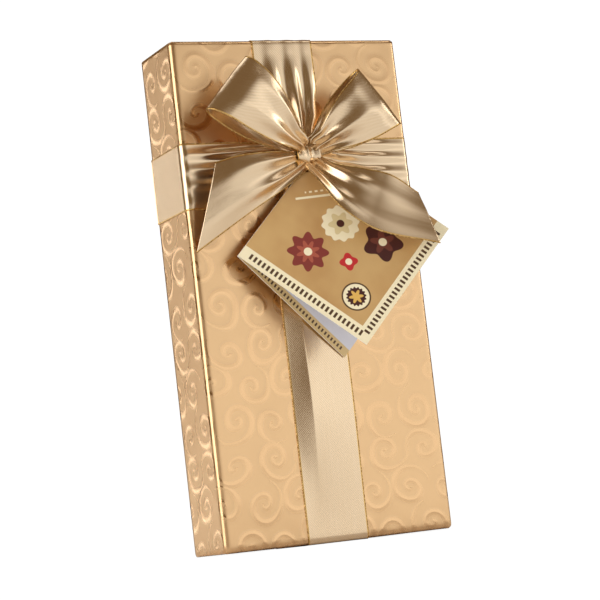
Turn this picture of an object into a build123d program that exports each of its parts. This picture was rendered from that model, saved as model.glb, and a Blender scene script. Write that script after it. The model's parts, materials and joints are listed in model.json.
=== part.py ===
from build123d import *
import os
from math import cos, radians, sin

os.makedirs("parts", exist_ok=True)

# The box stands on its lower end, in millimetres: +X right, +Y to the back, +Z up.
# The origin is on the surface it stands on, under the middle of that end.
box_width = 95.0
box_height = 192.0
box_depth = 30.0
lid_wall = 1.2
base_wall = 1.2
wrap_paper = 0.3
lid_clearance = 0.5
overrun = 2.0

# Folded ends of the wrapping paper
front_flap_length = 24.0
back_flap_length = 22.0
side_tuck_length = 20.0

# Ribbon round the box
ribbon_width = 25.0
ribbon_thickness = 0.4
ribbon_x = -1.4
ribbon_drop = 51.8
gather_length = 28.0
gather_crown = 3.5
selvage_crown = 0.15
strap_gap = 0.05

# Bow
knot_rise = 5.2
knot_width = 9.5
knot_height = 8.0
knot_depth = 9.0
knot_fillet = 2.4
bow_size = 25.0
pleat_height = 3.0
loop_root_width = 3.6
loop_root_rise = 1.8
tail_root_width = 3.2
tail_root_drop = 2.0
left_loop_length = 42.9
left_loop_angle = 37.8
left_loop_turn = -14.5
left_loop_bulge = 20.5
right_loop_length = 35.8
right_loop_angle = 34.5
right_loop_turn = 0.9
right_loop_bulge = 18.5

# Folded tag that hangs under the knot
tag_side = 58.0
tag_card = 0.4
tag_turn = 44.0
tag_yaw = 3.7
tag_lean = 3.6
tag_opening = 23.4
tag_low_corner_x = -32.6
tag_low_corner_drop = 36.9
tag_stand_off = 7.0
tag_corner_cut = 16.0
tag_fold_gap = 0.1
tag_leaf_gap = 0.05
tag_hole_along = 47.0
tag_hole_across = 11.0
tag_hole_diameter = 3.2
tag_window_diameter = 5.6
tie_diameter = 2.2
tie_head_diameter = 4.0
tie_head_length = 0.6
tie_width = 2.4
tie_thickness = 0.5
tie_root_x = 3.6
tie_play = 0.4

# Inside: mat, card dividers, pralines and pad
inner_clearance = 0.3
mat_height = 2.0
mat_paper = 0.5
mat_waves = 20
divider_card = 0.8
divider_drop = 1.6
slot_clearance = 0.15
columns = 3
rows = 6
praline_gap = 2.2
praline_seat = 0.1
praline_corner = 6.0
praline_fillet = 3.6
praline_taper = 12.0
dome_flat = 1.0
groove_radius = 1.2
grooves = 5
block_corner = 4.0
pad_height = 5.4
pad_corner = 6.0
pad_fillet = 2.4
pad_gap = 0.5
pad_lid_gap = 2.4
pad_side_gap = 1.5

# Faces that the pieces share
front = -box_depth / 2
back = box_depth / 2
box_low = ribbon_thickness
box_top = box_low + box_height
box_middle = (box_low + box_top) / 2
ribbon_z = box_top - ribbon_drop
knot_z = ribbon_z + knot_rise
fold_stack = 3 * wrap_paper
lid_board_width = box_width - 2 * wrap_paper
lid_board_height = box_height - 2 * fold_stack
lid_inner_width = lid_board_width - 2 * lid_wall
lid_inner_height = lid_board_height - 2 * lid_wall
lid_inner_front = front + wrap_paper + lid_wall
base_front = lid_inner_front + lid_clearance
base_width = lid_inner_width - 2 * lid_clearance
base_height = lid_inner_height - 2 * lid_clearance
base_board_width = base_width - 2 * wrap_paper
base_board_height = base_height - 2 * wrap_paper
base_inner_width = base_board_width - 2 * base_wall
base_inner_height = base_board_height - 2 * base_wall
base_inner_back = back - wrap_paper - base_wall


def facing(x, y, z):
    """Plane that looks towards the front, with its X to the right and its Y up."""
    return Plane(origin=(x, y, z), x_dir=(1, 0, 0), z_dir=(0, -1, 0))


# Lid: a deep board tray, open to the back
with BuildPart() as lid_board:
    with BuildSketch(facing(0, back, box_middle)):
        Rectangle(lid_board_width, lid_board_height)
    extrude(amount=box_depth - wrap_paper)
    with BuildSketch(facing(0, back, box_middle)):
        Rectangle(lid_inner_width, lid_inner_height)
    extrude(amount=back - lid_inner_front, mode=Mode.SUBTRACT)
lid_board.part.label = "lid_board"
export_step(lid_board.part, "parts/lid_board.step")

# Wrapping paper round the lid's front and long sides, open at both ends
with BuildPart() as lid_wrap:
    with BuildSketch(facing(0, back, box_middle)):
        Rectangle(box_width, box_height)
    extrude(amount=box_depth)
    with BuildSketch(facing(0, back, box_middle)):
        Rectangle(lid_board_width, box_height + overrun)
    extrude(amount=box_depth - wrap_paper, mode=Mode.SUBTRACT)
lid_wrap.part.label = "lid_wrap"
export_step(lid_wrap.part, "parts/lid_wrap.step")


def end_folds(outer_z, inward):
    """Front flap over back flap over two side tucks, folded flat on one end."""
    half = lid_board_width / 2
    near = front + wrap_paper
    with BuildPart() as folds:
        with BuildSketch(Plane.XY.offset(outer_z)):
            with BuildLine():
                Polyline((-half, near), (half, near),
                         (half - front_flap_length, near + front_flap_length),
                         (front_flap_length - half, near + front_flap_length), close=True)
            make_face()
        extrude(amount=inward * wrap_paper)
        with BuildSketch(Plane.XY.offset(outer_z + inward * wrap_paper)):
            with BuildLine():
                Polyline((-half, back), (half, back),
                         (half - back_flap_length, back - back_flap_length),
                         (back_flap_length - half, back - back_flap_length), close=True)
            make_face()
        extrude(amount=inward * wrap_paper)
        with BuildSketch(Plane.XY.offset(outer_z + 2 * inward * wrap_paper)):
            with Locations(((side_tuck_length / 2 - half), (near + back) / 2),
                           ((half - side_tuck_length / 2), (near + back) / 2)):
                Rectangle(side_tuck_length, back - near)
        extrude(amount=inward * wrap_paper)
    return folds


end_folds_bottom = end_folds(box_low, 1)
end_folds_bottom.part.label = "end_folds_bottom"
export_step(end_folds_bottom.part, "parts/end_folds_bottom.step")

end_folds_top = end_folds(box_top, -1)
end_folds_top.part.label = "end_folds_top"
export_step(end_folds_top.part, "parts/end_folds_top.step")

# Base: a board tray that slips into the lid, open to the front, in its own paper
with BuildPart() as base_board:
    with BuildSketch(facing(0, back - wrap_paper, box_middle)):
        Rectangle(base_board_width, base_board_height)
    extrude(amount=back - wrap_paper - base_front)
    with BuildSketch(facing(0, base_inner_back, box_middle)):
        Rectangle(base_inner_width, base_inner_height)
    extrude(amount=base_inner_back - base_front + overrun, mode=Mode.SUBTRACT)
base_board.part.label = "base_board"
export_step(base_board.part, "parts/base_board.step")

with BuildPart() as base_wrap:
    with BuildSketch(facing(0, back, box_middle)):
        Rectangle(base_width, base_height)
    extrude(amount=back - base_front)
    with BuildSketch(facing(0, back - wrap_paper, box_middle)):
        Rectangle(base_board_width, base_board_height)
    extrude(amount=back - wrap_paper - base_front + overrun, mode=Mode.SUBTRACT)
base_wrap.part.label = "base_wrap"
export_step(base_wrap.part, "parts/base_wrap.step")

# Ribbon on the lid. Each run is flat at the edges and gathers into pleats at the knot.
# Rows: distance from the knot, width, crown, lift over the run below, drift to the run's middle
gather_shares = (
    (0.00, 0.38, 0.45, 1.0, 0.00),
    (0.17, 0.38, 0.45, 1.0, 0.08),
    (0.35, 0.62, 1.00, 0.5, 0.30),
    (0.60, 0.86, 0.70, 0.0, 0.70),
    (1.00, 1.00, 0.30, 0.0, 1.00),
)
ridge_share = 0.35
run_folds = 4
crossing_lift = ribbon_thickness + gather_shares[0][2] * gather_crown + strap_gap


def gathered_points(width, lift, crown):
    """Outline of a run seen end on: flat below, ridged above."""
    count = 2 * run_folds
    points = [(-width / 2, lift)]
    for step in range(count + 1):
        share = 0 if step in (0, count) else 1 if step % 2 else ridge_share
        points.append((width * (step / count - 0.5), lift + ribbon_thickness + crown * share))
    return points + [(width / 2, lift)]


def gathered_rows(low_end, high_end, knot_at, lift_top):
    """Distance along the run, width, crown, lift and drift of each section, in order."""
    rows_out = [(low_end, ribbon_width, selvage_crown, 0, 1.0)]
    rows_out += [(knot_at - share * gather_length, wide * ribbon_width, crown * gather_crown,
                  lift * lift_top, drift)
                 for share, wide, crown, lift, drift in reversed(gather_shares)]
    rows_out += [(knot_at + share * gather_length, wide * ribbon_width, crown * gather_crown,
                  lift * lift_top, drift)
                 for share, wide, crown, lift, drift in gather_shares[1:]]
    return rows_out + [(high_end, ribbon_width, selvage_crown, 0, 1.0)]


with BuildPart() as ribbon_vertical:
    for z, width, crown, lift, drift in gathered_rows(
            box_low - ribbon_thickness, box_top + ribbon_thickness, knot_z, 0):
        with BuildSketch(Plane(origin=(drift * ribbon_x, front, z), x_dir=(1, 0, 0),
                               z_dir=(0, 0, -1))):
            with BuildLine():
                Polyline(*gathered_points(width, lift, crown), close=True)
            make_face()
    loft(ruled=True)
    for z in (box_low - ribbon_thickness, box_top):
        with BuildSketch(Plane.XY.offset(z)):
            with Locations((ribbon_x, 0)):
                Rectangle(ribbon_width, box_depth)
        extrude(amount=ribbon_thickness)
ribbon_vertical.part.label = "ribbon_vertical"
export_step(ribbon_vertical.part, "parts/ribbon_vertical.step")

with BuildPart() as ribbon_horizontal:
    reach = box_width / 2 + ribbon_thickness
    for x, width, crown, lift, drift in gathered_rows(-reach, reach, 0, crossing_lift):
        with BuildSketch(Plane(origin=(x, front, knot_z + drift * (ribbon_z - knot_z)),
                               x_dir=(0, 0, 1), z_dir=(1, 0, 0))):
            with BuildLine():
                Polyline(*gathered_points(width, lift, crown), close=True)
            make_face()
    loft(ruled=True)
    for side in (-1, 1):
        with BuildSketch(Plane(origin=(side * box_width / 2, 0, ribbon_z), x_dir=(0, 1, 0),
                               z_dir=(1, 0, 0))):
            Rectangle(box_depth, ribbon_width)
        extrude(amount=side * ribbon_thickness)
ribbon_horizontal.part.label = "ribbon_horizontal"
export_step(ribbon_horizontal.part, "parts/ribbon_horizontal.step")

# Ribbon on the base's back: the upright run crosses over the level one
with BuildPart() as back_ribbon_horizontal:
    with BuildSketch(facing(0, back + ribbon_thickness, ribbon_z)):
        Rectangle(box_width + 2 * ribbon_thickness, ribbon_width)
    extrude(amount=ribbon_thickness)
back_ribbon_horizontal.part.label = "back_ribbon_horizontal"
export_step(back_ribbon_horizontal.part, "parts/back_ribbon_horizontal.step")

with BuildPart() as back_ribbon_vertical:
    step_low = ribbon_z - ribbon_width / 2 - strap_gap
    step_top = ribbon_z + ribbon_width / 2 + strap_gap
    flat = back + ribbon_thickness
    raised = flat + ribbon_thickness
    end_low = box_low - ribbon_thickness
    end_top = box_top + ribbon_thickness
    with BuildSketch(Plane(origin=(ribbon_x - ribbon_width / 2, 0, 0), x_dir=(0, 1, 0),
                           z_dir=(1, 0, 0))):
        with BuildLine():
            Polyline((back, end_low), (flat, end_low), (flat, step_low - ribbon_thickness),
                     (raised, step_low), (raised, step_top),
                     (flat, step_top + ribbon_thickness), (flat, end_top), (back, end_top),
                     (back, step_top), (flat, step_top), (flat, step_low), (back, step_low),
                     close=True)
        make_face()
    extrude(amount=ribbon_width)
back_ribbon_vertical.part.label = "back_ribbon_vertical"
export_step(back_ribbon_vertical.part, "parts/back_ribbon_vertical.step")

# Bow knot, seated on the crossing of the two runs
knot_back = front - 2 * crossing_lift
with BuildPart(Plane(origin=(0, knot_back - knot_depth / 2, knot_z))) as bow_knot:
    Box(knot_width, knot_depth, knot_height)
    fillet(bow_knot.edges(), radius=knot_fillet)
bow_knot.part.label = "bow_knot"
export_step(bow_knot.part, "parts/bow_knot.step")

ribbon_pleats = 3


def pleated_points(width, pleat):
    """Outline of a thin pleated ribbon seen end on."""
    count = 2 * ribbon_pleats
    ridge = [(width * (step / count - 0.5), pleat * (0.5 if step % 2 else -0.5))
             for step in range(count + 1)]
    upper = [(x, y + ribbon_thickness / 2) for x, y in ridge]
    lower = [(x, y - ribbon_thickness / 2) for x, y in reversed(ridge)]
    return upper + lower


def ribbon_planes(edges, first_way, last_way):
    """One plane for each pair of edge points, square to the ribbon's run."""
    middles = [(low + high) / 2 for low, high in edges]
    ways = [after - before for before, after in zip(middles, middles[2:])]
    ways = [first_way] + ways + [last_way or middles[-1] - middles[-2]]
    planes = []
    for (low, high), middle, way in zip(edges, middles, ways):
        across = (high - low).normalized()
        normal = way.cross(across).normalized()
        planes.append(Plane(origin=middle, x_dir=across, z_dir=across.cross(normal)))
    return planes


def root_edges(side, out, middle_z, width):
    """Edge points of a ribbon's root on the flat side of the knot."""
    return tuple(Vector(side * knot_width / 2, front - out, middle_z + half)
                 for half in (-width / 2, width / 2))


# Loops. Rows: distance along the loop, distance out from the lid, width, pleat
loop_shares = (
    (0.24, 0.70, 0.40, 0.80),
    (0.42, 0.88, 0.66, 0.50),
    (0.62, 1.00, 0.86, 0.30),
    (0.82, 0.98, 0.98, 0.16),
    (0.95, 0.89, 1.04, 0.10),
    (1.00, 0.80, 1.06, 0.08),
    (0.95, 0.71, 1.04, 0.10),
    (0.80, 0.60, 0.98, 0.14),
    (0.60, 0.49, 0.84, 0.26),
    (0.42, 0.41, 0.64, 0.40),
    (0.24, 0.36, 0.40, 0.60),
)
root_pleat_share = 0.5
front_root_out_share = 0.75
back_root_out_share = 0.25
knot_out = front - knot_back


def bow_loop(side, length, angle, turn, bulge):
    """A loop from the knot out to its fold and back, as one pleated ribbon."""
    along = Vector(side * cos(radians(angle)), 0, sin(radians(angle)))
    root_z = knot_z + loop_root_rise
    edges, pleats = [], []

    def add_root(out_share):
        edges.append(root_edges(side, knot_out + out_share * knot_depth, root_z,
                                loop_root_width))
        pleats.append(root_pleat_share * pleat_height)

    add_root(front_root_out_share)
    for distance, out, wide, pleat in loop_shares:
        tilt = radians(angle + distance * turn)
        across = Vector(-side * sin(tilt), 0, cos(tilt))
        middle = Vector(0, front - out * bulge, knot_z) + along * (distance * length)
        reach_out = across * (wide * ribbon_width / 2)
        edges.append((middle - reach_out, middle + reach_out))
        pleats.append(pleat * pleat_height)
    add_root(back_root_out_share)
    widths = [(high - low).length for low, high in edges]
    planes = ribbon_planes(edges, Vector(side, 0, 0), Vector(-side, 0, 0))
    with BuildPart() as loop:
        for plane, width, pleat in zip(planes, widths, pleats):
            with BuildSketch(plane):
                with BuildLine():
                    Polyline(*pleated_points(width, pleat), close=True)
                make_face()
        loft(ruled=True)
    return loop


bow_loop_left = bow_loop(-1, left_loop_length, left_loop_angle, left_loop_turn,
                         left_loop_bulge)
bow_loop_left.part.label = "bow_loop_left"
export_step(bow_loop_left.part, "parts/bow_loop_left.step")

bow_loop_right = bow_loop(1, right_loop_length, right_loop_angle, right_loop_turn,
                          right_loop_bulge)
bow_loop_right.part.label = "bow_loop_right"
export_step(bow_loop_right.part, "parts/bow_loop_right.step")

# Tails. Rows: lower edge and upper edge as shares of the bow's size, each
# (to the right of the knot, out from the lid, above the knot), then the pleat
left_tail_shares = (
    ((-0.46, 0.36, -0.51), (-0.39, 0.44, 0.04), 0.80),
    ((-0.97, 0.36, -0.80), (-0.89, 0.52, 0.02), 0.40),
    ((-1.41, 0.28, -1.07), (-1.23, 0.48, -0.01), 0.25),
    ((-1.90, 0.16, -1.38), (-1.54, 0.40, -0.08), 0.12),
)
right_tail_shares = (
    ((0.08, 0.58, -0.53), (0.29, 0.57, -0.17), 0.60),
    ((0.28, 0.73, -0.94), (0.68, 0.68, -0.32), 0.35),
    ((0.59, 0.93, -1.26), (1.04, 0.76, -0.44), 0.25),
    ((1.58, 1.29, -1.59), (1.51, 0.86, -0.79), 0.12),
)


def bow_tail(side, out_share, tail_shares):
    """A tail from the knot to its slanting cut end."""
    edges = [root_edges(side, knot_out + out_share * knot_depth, knot_z - tail_root_drop,
                        tail_root_width)]
    pleats = [root_pleat_share * pleat_height]
    for low, high, pleat in tail_shares:
        edges.append(tuple(Vector(x * bow_size, front - out * bow_size, knot_z + z * bow_size)
                           for x, out, z in (low, high)))
        pleats.append(pleat * pleat_height)
    widths = [(high - low).length for low, high in edges]
    with BuildPart() as tail:
        for plane, width, pleat in zip(ribbon_planes(edges, Vector(side, 0, 0), None),
                                       widths, pleats):
            with BuildSketch(plane):
                with BuildLine():
                    Polyline(*pleated_points(width, pleat), close=True)
                make_face()
        loft(ruled=True)
    return tail


left_root_out_share = 0.5
right_root_out_share = 0.58
bow_tail_left = bow_tail(-1, left_root_out_share, left_tail_shares)
bow_tail_left.part.label = "bow_tail_left"
export_step(bow_tail_left.part, "parts/bow_tail_left.step")

bow_tail_right = bow_tail(1, right_root_out_share, right_tail_shares)
bow_tail_right.part.label = "bow_tail_right"
export_step(bow_tail_right.part, "parts/bow_tail_right.step")

# Tag: two square leaves hinged on the fold that runs up to the knot
fold_way = Vector(sin(radians(tag_turn)), 0, cos(radians(tag_turn)))
leaf_way = Vector(cos(radians(tag_turn)), 0, -sin(radians(tag_turn)))
fold_way = fold_way.rotate(Axis.X, tag_lean).rotate(Axis.Z, tag_yaw)
leaf_way = leaf_way.rotate(Axis.X, tag_lean).rotate(Axis.Z, tag_yaw)
inward_way = fold_way.cross(leaf_way)
fold_corner = Vector(tag_low_corner_x, front - tag_stand_off, knot_z - tag_low_corner_drop)
open_turn = radians(tag_opening)
back_leaf_plane = Plane(origin=fold_corner, x_dir=fold_way, z_dir=inward_way)
front_leaf_plane = Plane(origin=fold_corner, x_dir=fold_way,
                         z_dir=inward_way * cos(open_turn) + leaf_way * sin(open_turn))


def tag_leaf(plane, away, hole):
    """A square leaf on its side of the fold, with its top corner cut off and a hole."""
    with BuildPart() as leaf:
        with BuildSketch(plane.offset(away * tag_leaf_gap)):
            with BuildLine():
                Polyline((0, tag_fold_gap), (tag_side - tag_corner_cut, tag_fold_gap),
                         (tag_side, tag_corner_cut + tag_fold_gap), (tag_side, tag_side),
                         (0, tag_side), close=True)
            make_face()
            with Locations((tag_hole_along, tag_hole_across)):
                Circle(hole / 2, mode=Mode.SUBTRACT)
        extrude(amount=away * tag_card)
    return leaf


tag_back_leaf = tag_leaf(back_leaf_plane, 1, tag_hole_diameter)
tag_back_leaf.part.label = "tag_back_leaf"
export_step(tag_back_leaf.part, "parts/tag_back_leaf.step")

tag_front_leaf = tag_leaf(front_leaf_plane, -1, tag_window_diameter)
tag_front_leaf.part.label = "tag_front_leaf"
export_step(tag_front_leaf.part, "parts/tag_front_leaf.step")

# Narrow tie from behind the knot, through the back leaf's hole, to its own small head
hole_middle = back_leaf_plane.from_local_coords(
    Vector(tag_hole_along, tag_hole_across, tag_leaf_gap + tag_card / 2))
tie_front = hole_middle.Y - tag_card / 2 - tie_play
root_x = tie_root_x - hole_middle.X
root_z = knot_z - knot_height / 2 - hole_middle.Z
with BuildPart() as tag_tie:
    with BuildSketch(facing(hole_middle.X, knot_back, hole_middle.Z)):
        with BuildLine():
            Polyline((-tie_width / 2, -tie_width / 2), (tie_width / 2, -tie_width / 2),
                     (tie_width / 2, tie_width / 2), (root_x + tie_width / 2, root_z),
                     (root_x - tie_width / 2, root_z), (-tie_width / 2, tie_width / 2),
                     close=True)
        make_face()
    extrude(amount=tie_thickness)
    with BuildSketch(facing(hole_middle.X, knot_back, hole_middle.Z)):
        Circle(tie_diameter / 2)
    extrude(amount=knot_back - tie_front)
    with BuildSketch(facing(hole_middle.X, tie_front, hole_middle.Z)):
        Circle(tie_head_diameter / 2)
    extrude(amount=tie_head_length)
tag_tie.part.label = "tag_tie"
export_step(tag_tie.part, "parts/tag_tie.step")

# Corrugated mat on the base's floor
mat_width = base_inner_width - 2 * inner_clearance
mat_length = base_inner_height - 2 * inner_clearance
with BuildPart() as praline_mat:
    with BuildSketch(Plane.XY.offset(box_middle - mat_length / 2)):
        with BuildLine():
            wave = [(mat_width * (step / (2 * mat_waves) - 0.5),
                     base_inner_back - (mat_height - mat_paper) * (step % 2))
                    for step in range(2 * mat_waves + 1)]
            Polyline(*wave, *[(x, y - mat_paper) for x, y in reversed(wave)], close=True)
        make_face()
    extrude(amount=mat_length)
praline_mat.part.label = "praline_mat"
export_step(praline_mat.part, "parts/praline_mat.step")

# Card dividers, half lapped where they cross
mat_top = base_inner_back - mat_height
praline_floor = mat_top - praline_seat
pad_front = lid_inner_front + pad_lid_gap
pad_back = pad_front + pad_height
praline_height = praline_floor - pad_back - pad_gap
divider_height = praline_height - divider_drop
divider_middle = mat_top - divider_height / 2
cell_width = mat_width / columns
cell_length = mat_length / rows
slot_width = divider_card + 2 * slot_clearance
slot_depth = divider_height / 2 + overrun

for column in range(1, columns):
    with BuildPart() as divider_long:
        with BuildSketch(Plane(
                origin=(column * cell_width - mat_width / 2 - divider_card / 2,
                        divider_middle, box_middle), x_dir=(0, 1, 0), z_dir=(1, 0, 0))):
            Rectangle(divider_height, mat_length)
            with Locations(*[(-slot_depth / 2, row * cell_length - mat_length / 2)
                             for row in range(1, rows)]):
                Rectangle(slot_depth, slot_width, mode=Mode.SUBTRACT)
        extrude(amount=divider_card)
    divider_long.part.label = f"divider_long_{column}"
    export_step(divider_long.part, f"parts/divider_long_{column}.step")

for row in range(1, rows):
    with BuildPart() as divider_cross:
        with BuildSketch(Plane.XY.offset(
                box_middle - mat_length / 2 + row * cell_length - divider_card / 2)):
            with Locations((0, divider_middle)):
                Rectangle(mat_width, divider_height)
            with Locations(*[(column * cell_width - mat_width / 2,
                              divider_middle + slot_depth / 2)
                             for column in range(1, columns)]):
                Rectangle(slot_width, slot_depth, mode=Mode.SUBTRACT)
        extrude(amount=divider_card)
    divider_cross.part.label = f"divider_cross_{row}"
    export_step(divider_cross.part, f"parts/divider_cross_{row}.step")

# Pralines, one in each cell, in three moulded forms
praline_width = cell_width - divider_card - 2 * praline_gap
praline_length = cell_length - divider_card - 2 * praline_gap


def ribbed_praline(plane):
    """A rounded block with grooves across its top."""
    with BuildPart() as praline:
        with BuildSketch(plane):
            RectangleRounded(praline_width, praline_length, praline_corner)
        extrude(amount=praline_height, taper=praline_taper)
        fillet(praline.faces().sort_by(Axis.Y)[0].edges(), radius=praline_fillet)
        with Locations(plane.offset(praline_height)):
            with GridLocations(0, praline_length / (grooves + 1), 1, grooves):
                Cylinder(groove_radius, praline_width, rotation=(0, 90, 0),
                         mode=Mode.SUBTRACT)
    return praline


def domed_praline(plane):
    """A round dome on a low skirt."""
    radius = praline_width / 2
    with BuildPart() as praline:
        with BuildSketch(plane):
            Circle(radius)
        extrude(amount=praline_height)
        fillet(praline.faces().sort_by(Axis.Y)[0].edges(),
               radius=min(radius, praline_height) - dome_flat)
    return praline


# Rows: height of the section, its size across the cell and along it
facet_shares = ((0.00, 0.94, 0.94), (0.28, 1.00, 1.00), (0.86, 0.66, 0.72), (1.00, 0.40, 0.52))


def faceted_praline(plane):
    """A cut-cornered block that steps in to a small flat top."""
    with BuildPart() as praline:
        for height, wide, long in facet_shares:
            x, y = wide * praline_width / 2, long * praline_length / 2
            inner_x, inner_y = x - wide * block_corner, y - long * block_corner
            with BuildSketch(plane.offset(height * praline_height)):
                with BuildLine():
                    Polyline((-inner_x, -y), (inner_x, -y), (x, -inner_y), (x, inner_y),
                             (inner_x, y), (-inner_x, y), (-x, inner_y), (-x, -inner_y),
                             close=True)
                make_face()
        loft(ruled=True)
    return praline


praline_forms = (ribbed_praline, domed_praline, faceted_praline)
for row in range(1, rows + 1):
    for column in range(1, columns + 1):
        cell = facing((column - 0.5) * cell_width - mat_width / 2, praline_floor,
                      box_middle - mat_length / 2 + (row - 0.5) * cell_length)
        praline = praline_forms[(row + column) % len(praline_forms)](cell)
        praline.part.label = f"praline_{row}_{column}"
        export_step(praline.part, f"parts/praline_{row}_{column}.step")

# Cushion pad between the pralines and the lid
with BuildPart() as cushion_pad:
    with BuildSketch(facing(0, pad_back, box_middle)):
        RectangleRounded(mat_width - 2 * pad_side_gap, mat_length - 2 * pad_side_gap, pad_corner)
    extrude(amount=pad_height)
    fillet(cushion_pad.faces().filter_by(Axis.Y).edges(), radius=pad_fillet)
cushion_pad.part.label = "cushion_pad"
export_step(cushion_pad.part, "parts/cushion_pad.step")
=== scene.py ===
import json
import logging
import math
from dataclasses import dataclass, field
from enum import Enum
from typing import Callable, Dict, Optional, Sequence, Tuple, Union

import bmesh
import bpy
import numpy as np
from mathutils import Matrix, Vector


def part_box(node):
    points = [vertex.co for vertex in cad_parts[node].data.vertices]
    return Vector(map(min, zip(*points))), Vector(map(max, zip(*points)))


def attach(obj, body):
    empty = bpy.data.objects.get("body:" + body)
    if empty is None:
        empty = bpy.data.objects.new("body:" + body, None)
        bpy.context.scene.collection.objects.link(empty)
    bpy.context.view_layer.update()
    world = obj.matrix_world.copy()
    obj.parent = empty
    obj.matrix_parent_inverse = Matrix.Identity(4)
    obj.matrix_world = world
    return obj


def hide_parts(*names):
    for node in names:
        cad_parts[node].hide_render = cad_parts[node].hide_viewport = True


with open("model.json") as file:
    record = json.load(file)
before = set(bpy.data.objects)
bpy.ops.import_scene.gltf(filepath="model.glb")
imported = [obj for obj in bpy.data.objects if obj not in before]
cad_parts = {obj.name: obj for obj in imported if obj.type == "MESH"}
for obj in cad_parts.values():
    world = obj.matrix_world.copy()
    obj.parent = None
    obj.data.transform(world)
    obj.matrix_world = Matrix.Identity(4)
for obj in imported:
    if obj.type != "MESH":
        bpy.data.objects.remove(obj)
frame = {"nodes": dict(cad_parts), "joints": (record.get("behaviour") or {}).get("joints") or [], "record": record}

log = logging.getLogger("gift box")
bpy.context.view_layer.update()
Colour = Tuple[float, float, float, float]
Pair = Tuple[float, float]
Point = Tuple[float, float, float]
Place = Callable[[float, float], Vector]
Shares = Tuple[Pair, ...]
TailRow = Tuple[Point, Point, float, float]
Inputs = Dict[Union[str, int], object]
MM = 0.001
MERGE_DISTANCE = 1e-6
TINY = 1e-12
FACING_SHARE = 0.7
UV_MAP = "UVMap"
SPIRAL_POWER = 1.25
WHITE: Colour = (1.0, 1.0, 1.0, 1.0)
WHITE_GLOW = 1.06


class Body(str, Enum):
    """The bodies that new pieces ride on."""

    BASE = "base"
    PRALINES = "pralines"
    PAD = "pad"
    LID = "lid"
    TAG_BACK = "tag_back"
    TAG_FRONT = "tag_front"


class Slot(str, Enum):
    """The record's material slots."""

    WRAP = "wrap"
    BOARD = "board"
    RIBBON = "ribbon"
    TAG = "tag"
    MILK = "milk_chocolate"
    WHITE = "white_chocolate"
    DARK = "dark_chocolate"
    PAD = "pad"


class Held(str, Enum):
    """How a stretch of ribbon is held."""

    STRETCHED = "stretched"
    GATHERED = "gathered"


def srgb(red: float, green: float, blue: float) -> Colour:
    """A colour given in display values.

    Args:
        red, green, blue: its channels, from 0 to 255.

    Returns:
        The linear colour with full alpha.
    """
    def channel(value: float) -> float:
        """One channel, made linear."""
        share = value / 255
        return share / 12.92 if share <= 0.04045 else ((share + 0.055) / 1.055) ** 2.4

    return (channel(red), channel(green), channel(blue), 1.0)


class Nodes:
    """Short calls that place and join the nodes of one material or group."""

    def __init__(self, tree: bpy.types.NodeTree) -> None:
        """Keeps the tree that the calls add to."""
        self.tree = tree

    def give(self, node: bpy.types.Node, inputs: Inputs) -> None:
        """Fills a node's inputs.

        Args:
            node: the node.
            inputs: socket name or index, and the value or output socket that it takes.
        """
        for key, value in inputs.items():
            if isinstance(value, bpy.types.NodeSocket):
                self.tree.links.new(value, node.inputs[key])
            else:
                node.inputs[key].default_value = value

    def add(self, kind: str, inputs: Optional[Inputs] = None, **settings: object) -> bpy.types.Node:
        """Adds a node.

        Args:
            kind: the node's type name, without its ShaderNode prefix.
            inputs: what its inputs take, as in give.
            settings: properties of the node.

        Returns:
            The node.
        """
        node = self.tree.nodes.new("ShaderNode" + kind)
        for name, value in settings.items():
            setattr(node, name, value)
        self.give(node, inputs or {})
        return node

    def group(self, name: str, inputs: Inputs) -> bpy.types.Node:
        """An effect group, placed with its own values."""
        return self.add("Group", inputs, node_tree=bpy.data.node_groups[name])

    def uv(self) -> bpy.types.NodeSocket:
        """The piece's own UV map."""
        return self.add("UVMap", uv_map=UV_MAP).outputs[0]

    def object_point(self) -> bpy.types.NodeSocket:
        """The point in Object coordinates."""
        return self.add("TexCoord").outputs["Object"]

    def math(self, operation: str, *values: object, clamp: bool = False) -> bpy.types.NodeSocket:
        """The result of a Math node on these values or sockets."""
        return self.add("Math", dict(enumerate(values)), operation=operation, use_clamp=clamp).outputs[0]

    def times(self, first: object, second: object) -> bpy.types.NodeSocket:
        """The product of two values or sockets."""
        return self.math("MULTIPLY", first, second)

    def less(self, first: object, second: object) -> bpy.types.NodeSocket:
        """The first value or socket less the second."""
        return self.math("SUBTRACT", first, second)

    def vector(self, operation: str, *values: object, out: int = 0) -> bpy.types.NodeSocket:
        """The result of a Vector Math node on these values or sockets."""
        return self.add("VectorMath", dict(enumerate(values)), operation=operation).outputs[out]

    def smooth(self, value: object, low: float, high: float) -> bpy.types.NodeSocket:
        """A smooth step from 0 at low to 1 at high."""
        return self.add("MapRange", {0: value, 1: low, 2: high}, interpolation_type="SMOOTHSTEP").outputs[0]

    def mix(self, factor: object, first: object, second: object) -> bpy.types.NodeSocket:
        """A mix of two colours."""
        return self.add("Mix", {0: factor, 6: first, 7: second}, data_type="RGBA").outputs[2]

    def noise(self, vector: object, scale: float, detail: float = 3.0) -> bpy.types.NodeSocket:
        """A noise value from 0 to 1."""
        return self.add("TexNoise", {"Vector": vector, "Scale": scale, "Detail": detail}).outputs[0]

    def bump(self, height: object, normal: object = None) -> bpy.types.NodeSocket:
        """A normal from a height.

        Args:
            height: the height, in metres.
            normal: the normal that it starts from, if not the surface's own.

        Returns:
            The bumped normal.
        """
        inputs = {"Height": height, "Strength": 1.0, "Distance": 1.0}
        if normal is not None:
            inputs["Normal"] = normal
        return self.add("Bump", inputs).outputs[0]


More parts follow.
